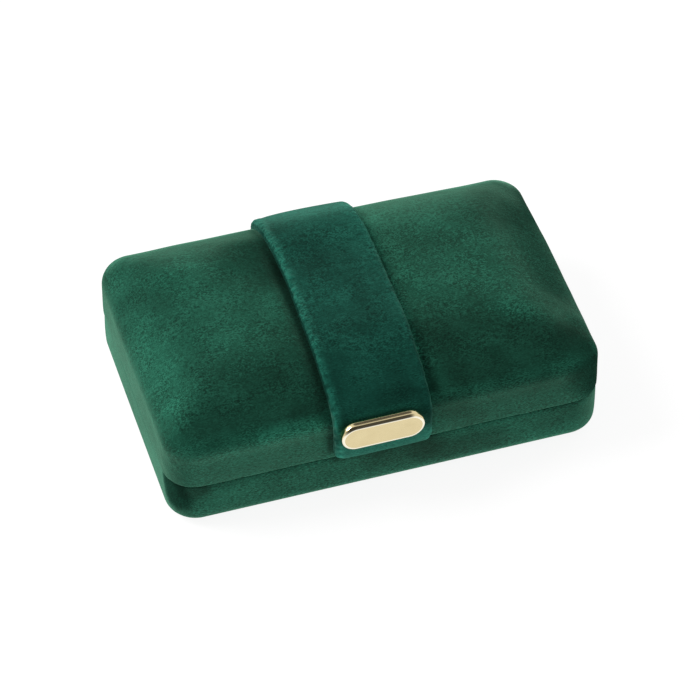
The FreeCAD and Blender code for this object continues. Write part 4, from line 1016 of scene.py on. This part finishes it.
tufts = waves(43, 1.5, 3.4, 16)(strap_pile)          # uneven tufts along both edges
at_edge = smoothstep(12.6, 15.6, np.abs(strap_pile[:, 0])) * smoothstep(0.0, 1.0, strap_pile[:, 2])
at_edge *= np.where(strap_pile[:, 0] < 0, 1.0, 0.5)
strap_points[:, 0] += 0.2 * tufts * at_edge * np.sign(strap_pile[:, 0])
lift = 0.09 * swell(strap_pile) * upper + 0.2 * tufts * at_edge
row = np.repeat(np.arange(len(path)), M)
strap_points[:, 1] += lift * ay[row]
strap_points[:, 2] += lift * az[row]
strap_faces.append(tuple(range(M)))
strap_faces.append(tuple(reversed(range((len(path) - 1) * M, len(path) * M))))
side = strap_pile[:, 0]
tip = 1 - smoothstep(1.0, 3.4, np.minimum(strap_pile[:, 1], 1e9))
tip_part = 1 - smoothstep(20.0, 26.0, strap_pile[:, 1])
# painted highlight along the rolled crest of the left edge, painted shade on the left side wall below it (less
# towards the back, none at the tip), and a thin band of painted shade just inside the crest
crest_highlight = (1 - smoothstep(-15.0, -13.4, side)) * smoothstep(1.3, 2.3, strap_pile[:, 2])
shade = (1 - smoothstep(-16.6, -15.6, side)) * (1 - smoothstep(1.2, 2.1, strap_pile[:, 2]))
shade *= (1 - tip_part) * (1 - 0.6 * smoothstep(12.0, 26.0, strap_points[:, 1]))
painted_light_and_nap = (0.65 + 0.55 * tufts) * crest_highlight - 0.8 * shade - 0.2 * np.exp(-((side + 12.4) / 1.2) ** 2) * upper
# painted highlight along the right edge except down the front, and along the tip's rim and the right side of the tip
painted_light_and_nap += 0.35 * smoothstep(14.0, 16.0, side) * smoothstep(-40.0, -20.0, strap_points[:, 1])
painted_light_and_nap += 0.7 * tip + 0.3 * tip_part * smoothstep(13.0, 16.0, side)
# lighter towards the back, and patches: painted light above, below and left of the gold bar where its shadow falls,
# painted shade behind it, by its right end and beside the tip's left edge, and lighter and darker patches over the
# top
back_part = smoothstep(4.0, 24.0, strap_points[:, 1])
painted_light_and_nap += 0.2 * back_part + strokes(strap_points, (
    ((-9, 22, 49.0), (0, -8, 50.3), 3.5, 3.0, -0.2),
    ((3.5, 14, 50.0), (2, -18, 50.0), 2.8, 2.4, -0.25),
    ((0, -14, 50.2), (1, -17, 50.0), 4.0, 3.5, -0.15),
    ((-14, 44, 41.0), (12, 44, 41.0), 6.0, 5.0, 0.42),
    ((12, 40, 44.0), (12.5, 24, 48.8), 4.0, 3.0, 0.35),
    ((-19.3, -39, 43.3), (-19.3, -46, 39.0), 2.0, 1.5, 0.2),
    ((-20.1, -50.5, 31.0), (-20.1, -50.8, 25.0), 1.6, 1.2, -0.6),
    ((-14, 33, 47.0), (-8, 12, 50.0), 8.0, 6.0, -0.4),
    ((1, -18, 49.8), (-3, -20, 49.8), 5.0, 4.0, -0.25),
    ((-13.5, -28, 48.5), (-13.0, -31, 47.5), 4.0, 3.0, -0.15),
    ((-5, 4, 50.3), (-6, -6, 50.3), 5.0, 4.5, 0.32),
    ((10, 12, 49.8), (11, -4, 49.8), 4.0, 3.5, 0.2),
    ((9.5, -35, 46.0), (10.5, -42, 42.0), 3.6, 3.0, 0.42),
    ((0, -38, 44.6), (-6, -40, 44.0), 6.0, 5.0, 0.2),
    ((-14, -49.6, 36.4), (7, -49.6, 36.4), 1.6, 1.2, 0.6),
    ((-18, -51.4, 24.4), (12, -51.4, 24.4), 3.2, 2.2, 1.35),
    ((-12.4, -51.4, 31.6), (3.6, -51.4, 31.6), 5.0, 0.7, -1.0),
    ((-18.8, -50.2, 37.0), (-18.8, -51.2, 29.5), 1.6, 1.2, 0.7),
    ((12.5, -50.8, 33.0), (12.8, -51.0, 27.0), 1.8, 1.4, -0.8),
    ((-17, 40, 43.5), (-15, 32, 47.0), 3.0, 2.5, -0.3),
    ((-13, -50.2, 38.2), (6, -50.2, 38.2), 1.4, 1.0, 0.35),
    ((-14, -44.5, 40.5), (-2, -45, 40.2), 4.0, 3.5, 0.25),
    ((-1, -45.5, 40.0), (5, -45.5, 40.0), 3.0, 2.6, -0.45),
    ((8, -51.4, 22.5), (12.5, -51.2, 23.5), 2.2, 1.8, 0.4),
    ((-16, 26, 48.5), (-15.5, -16, 49.5), 2.6, 2.0, 0.25),
    ((-19, -51.4, 21.0), (-14, -51.4, 20.2), 1.8, 1.4, 0.4),
))
low_part = 1 - smoothstep(-40.0, -28.0, strap_points[:, 1])
back_edge = smoothstep(30.0, 42.0, strap_points[:, 1])
below_bar = strokes(strap_points, (((-18, -51.4, 23.6), (12, -51.4, 23.6), 3.4, 2.2, 1.0),))
lean = (0.1 - 0.2 * back_part + 0.3 * back_edge + 0.25 * crest_highlight - 0.8 * shade)[:, None] * FAR + (0.3 * tip + 0.3 * below_bar)[:, None] * DOWN
strap = make("strap_velvet_band", strap_points, strap_faces, strap_velvet, strap_pile, lean=lean, painted_light_and_nap=painted_light_and_nap,
             comb=0.6 * low_part, gain=-0.9 * low_part + 0.15 * back_part)
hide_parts("strap_cover", "flap_cover")
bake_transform(strap)

# ------------------------------------------------------------------- the gold bar
lo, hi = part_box("clasp_bar")
bar_x, bar_z = (lo.x + hi.x) / 2 / MM, (lo.z + hi.z) / 2 / MM
bar_half, bar_r = (hi.x - lo.x) / 2 / MM, (hi.z - lo.z) / 2 / MM
bar_front, bar_back = lo.y / MM, lo.y / MM + 3.0
rows = []
for i in range(40):
    a = math.radians(-90 + 180 * i / 40)
    rows.append((bar_half - bar_r, 0.0, math.cos(a), math.sin(a)))
for i in range(16):
    rows.append(((bar_half - bar_r) * (1 - i / 8), 0.0, 0.0, 1.0))
for i in range(40):
    a = math.radians(90 + 180 * i / 40)
    rows.append((-(bar_half - bar_r), 0.0, math.cos(a), math.sin(a)))
for i in range(16):
    rows.append((-(bar_half - bar_r) * (1 - i / 8), 0.0, 0.0, -1.0))
rows = np.array(rows)
# along the top a bowed side and a wide flat cut, elsewhere an upright side and a rolled rim
upper_cut = np.array([(2.2, -0.25), (1.0, -0.25), (0.62, -0.22), (0.42, -0.14), (0.31, 0.0), (0.2, 0.2), (0.11, 0.42), (0.045, 0.68),
                      (0.01, 0.95), (0.0, 1.2), (0.008, 1.45), (0.026, 1.7), (0.05, 1.92), (0.085, 2.13), (0.13, 2.21), (0.64, 2.7),
                      (0.68, 2.76), (0.74, 2.835), (0.81, 2.895), (0.9, 2.95), (1.01, 2.985), (1.14, 3.0), (1.5, 3.0), (2.2, 3.0)])
lower_cut = np.array([(2.2, -0.25), (1.0, -0.25), (0.62, -0.22), (0.36, -0.1), (0.2, 0.1), (0.11, 0.35), (0.06, 0.7), (0.03, 1.1),
                      (0.015, 1.45), (0.005, 1.75), (0.0, 1.98), (0.0, 2.15), (0.0, 2.3), (0.01, 2.42), (0.03, 2.52), (0.08, 2.63),
                      (0.14, 2.72), (0.24, 2.815), (0.38, 2.895), (0.55, 2.95), (0.75, 2.985), (0.95, 3.0), (1.5, 3.0), (2.2, 3.0)])
levels = range(len(upper_cut))
RIM = range(15, 21)                       # the levels in the paler gold, a painted highlight along the rim
pts, faces = [], []
share = smoothstep(0.0, 0.9, rows[:, 3:4])
for k in levels:
    cut, rise = ((lower_cut[k] + share * (upper_cut[k] - lower_cut[k])).T)
    xz = rows[:, :2] + rows[:, 2:] * (bar_r - cut[:, None])
    pts.append(np.column_stack([bar_x + xz[:, 0], bar_back - rise, bar_z + xz[:, 1]]))
n = len(rows)
for k in range(len(levels) - 1):
    faces += band_faces(k * n, (k + 1) * n, n)
faces.append(tuple(reversed(range(n))))
faces.append(tuple(range((len(levels) - 1) * n, len(levels) * n)))
pts = np.concatenate(pts)
for sx in (-8.0, 8.0):                     # the two studs behind it
    start = len(pts)
    ring = np.array([(math.cos(t), math.sin(t)) for t in np.linspace(0, 2 * math.pi, 20, endpoint=False)])
    stud = []
    for r, y in ((0.9, bar_back - 0.1), (0.9, bar_back + 1.9), (0.75, bar_back + 2.1)):
        stud.append(np.column_stack([bar_x + sx + ring[:, 0] * r, np.full(20, y), bar_z + ring[:, 1] * r]))
    pts = np.concatenate([pts] + stud)
    for k in range(2):
        faces += band_faces(start + k * 20, start + (k + 1) * 20, 20)
    faces.append(tuple(reversed(range(start, start + 20))))
    faces.append(tuple(range(start + 40, start + 60)))
bar = make("gold_bar", pts, faces, gold)
bar.data.materials.append(gold_rim_highlight)
for k in RIM:
    for i in range(n):
        bar.data.polygons[k * n + i].material_index = 1
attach(bar, "flap")
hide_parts("clasp_bar")

# ------------------------------------------------- finishes of the CAD's own nodes
FINISH = {
    "base_shell": shell_plastic, "lid_shell": shell_plastic, "base_floor_board": board_velvet,
    "strap_core": core_board, "flap_core": core_board,
    "flap_magnet": steel, "flap_keeper": steel, "clasp_push_nuts": steel,
    "base_rim_magnets": steel, "lid_rim_magnets": steel,
}
for name, obj in NODES.items():
    finish = FINISH.get(name)
    if finish is None and name.startswith("hinge_"):
        finish = brass
    if finish is not None:
        obj.data.materials.clear()
        obj.data.materials.append(finish)

# ------------------------------------------------------------------ floor and light
bm = bmesh.new()
corners = ((-1, -1), (1, -1), (1, 1), (-1, 1))
wide = [bm.verts.new((x * 2.5, y * 2.5, 0.0)) for x, y in corners]
inside = [bm.verts.new((x * 0.0692, y * 0.0422, 0.0)) for x, y in corners]     # clear of the box's bottom sheet
for k in range(4):
    bm.faces.new((wide[k], wide[(k + 1) % 4], inside[(k + 1) % 4], inside[k]))
floor_mesh = bpy.data.meshes.new("floor")
bm.to_mesh(floor_mesh)
bm.free()
floor = bpy.data.objects.new("floor", floor_mesh)
scene.collection.objects.link(floor)
g = Graph("floor_white")
speck = g.noise(g.place("object"), 0.02, 2.0, 0.5)
floor_mesh.materials.append(g.set(Base_Color=g.ramp(speck, [(0.3, (0.135, 0.135, 0.135)), (0.7, (0.145, 0.145, 0.145))]),
                                  Roughness=0.9, Specular_IOR_Level=0.0,
                                  Emission_Color=(1.0, 1.0, 1.0, 1.0), Emission_Strength=0.9))

world = bpy.data.worlds.new("studio")
scene.world = world
world.use_nodes = True
wt = world.node_tree
wt.nodes.clear()
w_out = wt.nodes.new("ShaderNodeOutputWorld")
w_bg = wt.nodes.new("ShaderNodeBackground")
w_dir = wt.nodes.new("ShaderNodeTexCoord")
w_level = None
# where the studio is unlit: the front, where someone stands, and a gap overhead behind
for toward, start, full, left in (((-0.2047, -0.6652, 0.718), 0.45, 0.95, 0.06), ((0.204, 0.663, 0.72), 0.93, 0.985, 0.12)):
    w_dot = wt.nodes.new("ShaderNodeVectorMath")
    w_dot.operation = "DOT_PRODUCT"
    w_dot.inputs[1].default_value = toward
    w_map = wt.nodes.new("ShaderNodeMapRange")
    w_map.interpolation_type = "SMOOTHSTEP"
    for key, number in (("From Min", start), ("From Max", full), ("To Min", 1.0), ("To Max", left)):
        w_map.inputs[key].default_value = number
    wt.links.new(w_dir.outputs["Generated"], w_dot.inputs[0])
    wt.links.new(w_dot.outputs["Value"], w_map.inputs["Value"])
    if w_level is None:
        w_level = w_map.outputs["Result"]
    else:
        w_both = wt.nodes.new("ShaderNodeMath")
        w_both.operation = "MULTIPLY"
        wt.links.new(w_level, w_both.inputs[0])
        wt.links.new(w_map.outputs["Result"], w_both.inputs[1])
        w_level = w_both.outputs[0]
w_bg.inputs["Color"].default_value = (1.0, 1.0, 1.0, 1.0)
wt.links.new(w_level, w_bg.inputs["Strength"])
wt.links.new(w_bg.outputs[0], w_out.inputs[0])


def area_light(name, at, towards, size, watts, colour=(1.0, 1.0, 1.0)):
    data = bpy.data.lights.new(name, "AREA")
    data.shape, data.size, data.energy, data.color = "DISK", size, watts, colour
    obj = bpy.data.objects.new(name, data)
    obj.location = at
    obj.rotation_mode = "QUATERNION"
    obj.rotation_quaternion = (Vector(towards) - Vector(at)).to_track_quat("-Z", "Y")
    scene.collection.objects.link(obj)
    return obj


area_light("key", (-0.75, 0.35, 0.8), (0, 0, 0.02), 0.7, 13.5)

# ------------------------------------------------------------------------ camera
elev, azim = math.radians(46.075), math.radians(-17.125)
back = Vector((math.sin(azim) * math.cos(elev), -math.cos(azim) * math.cos(elev), math.sin(elev)))
right = Vector((math.cos(azim), math.sin(azim), 0.0))
up = back.cross(right)
eye = Vector((0, 0, 0.022)) + back * 1.356
aim = Vector((0, 0, 0.022)) - up * 0.00443 + right * 0.00071
camera_data = bpy.data.cameras.new("camera")
camera_data.sensor_width, camera_data.lens = 36.0, 207.3
camera_data.clip_start, camera_data.clip_end = 0.05, 20.0
camera = bpy.data.objects.new("camera", camera_data)
camera.location = eye
camera.rotation_mode = "QUATERNION"
camera.rotation_quaternion = (aim - eye).to_track_quat("-Z", "Y")
scene.collection.objects.link(camera)
scene.camera = camera
scene.view_settings.view_transform = "Standard"
scene.view_settings.look = "None"
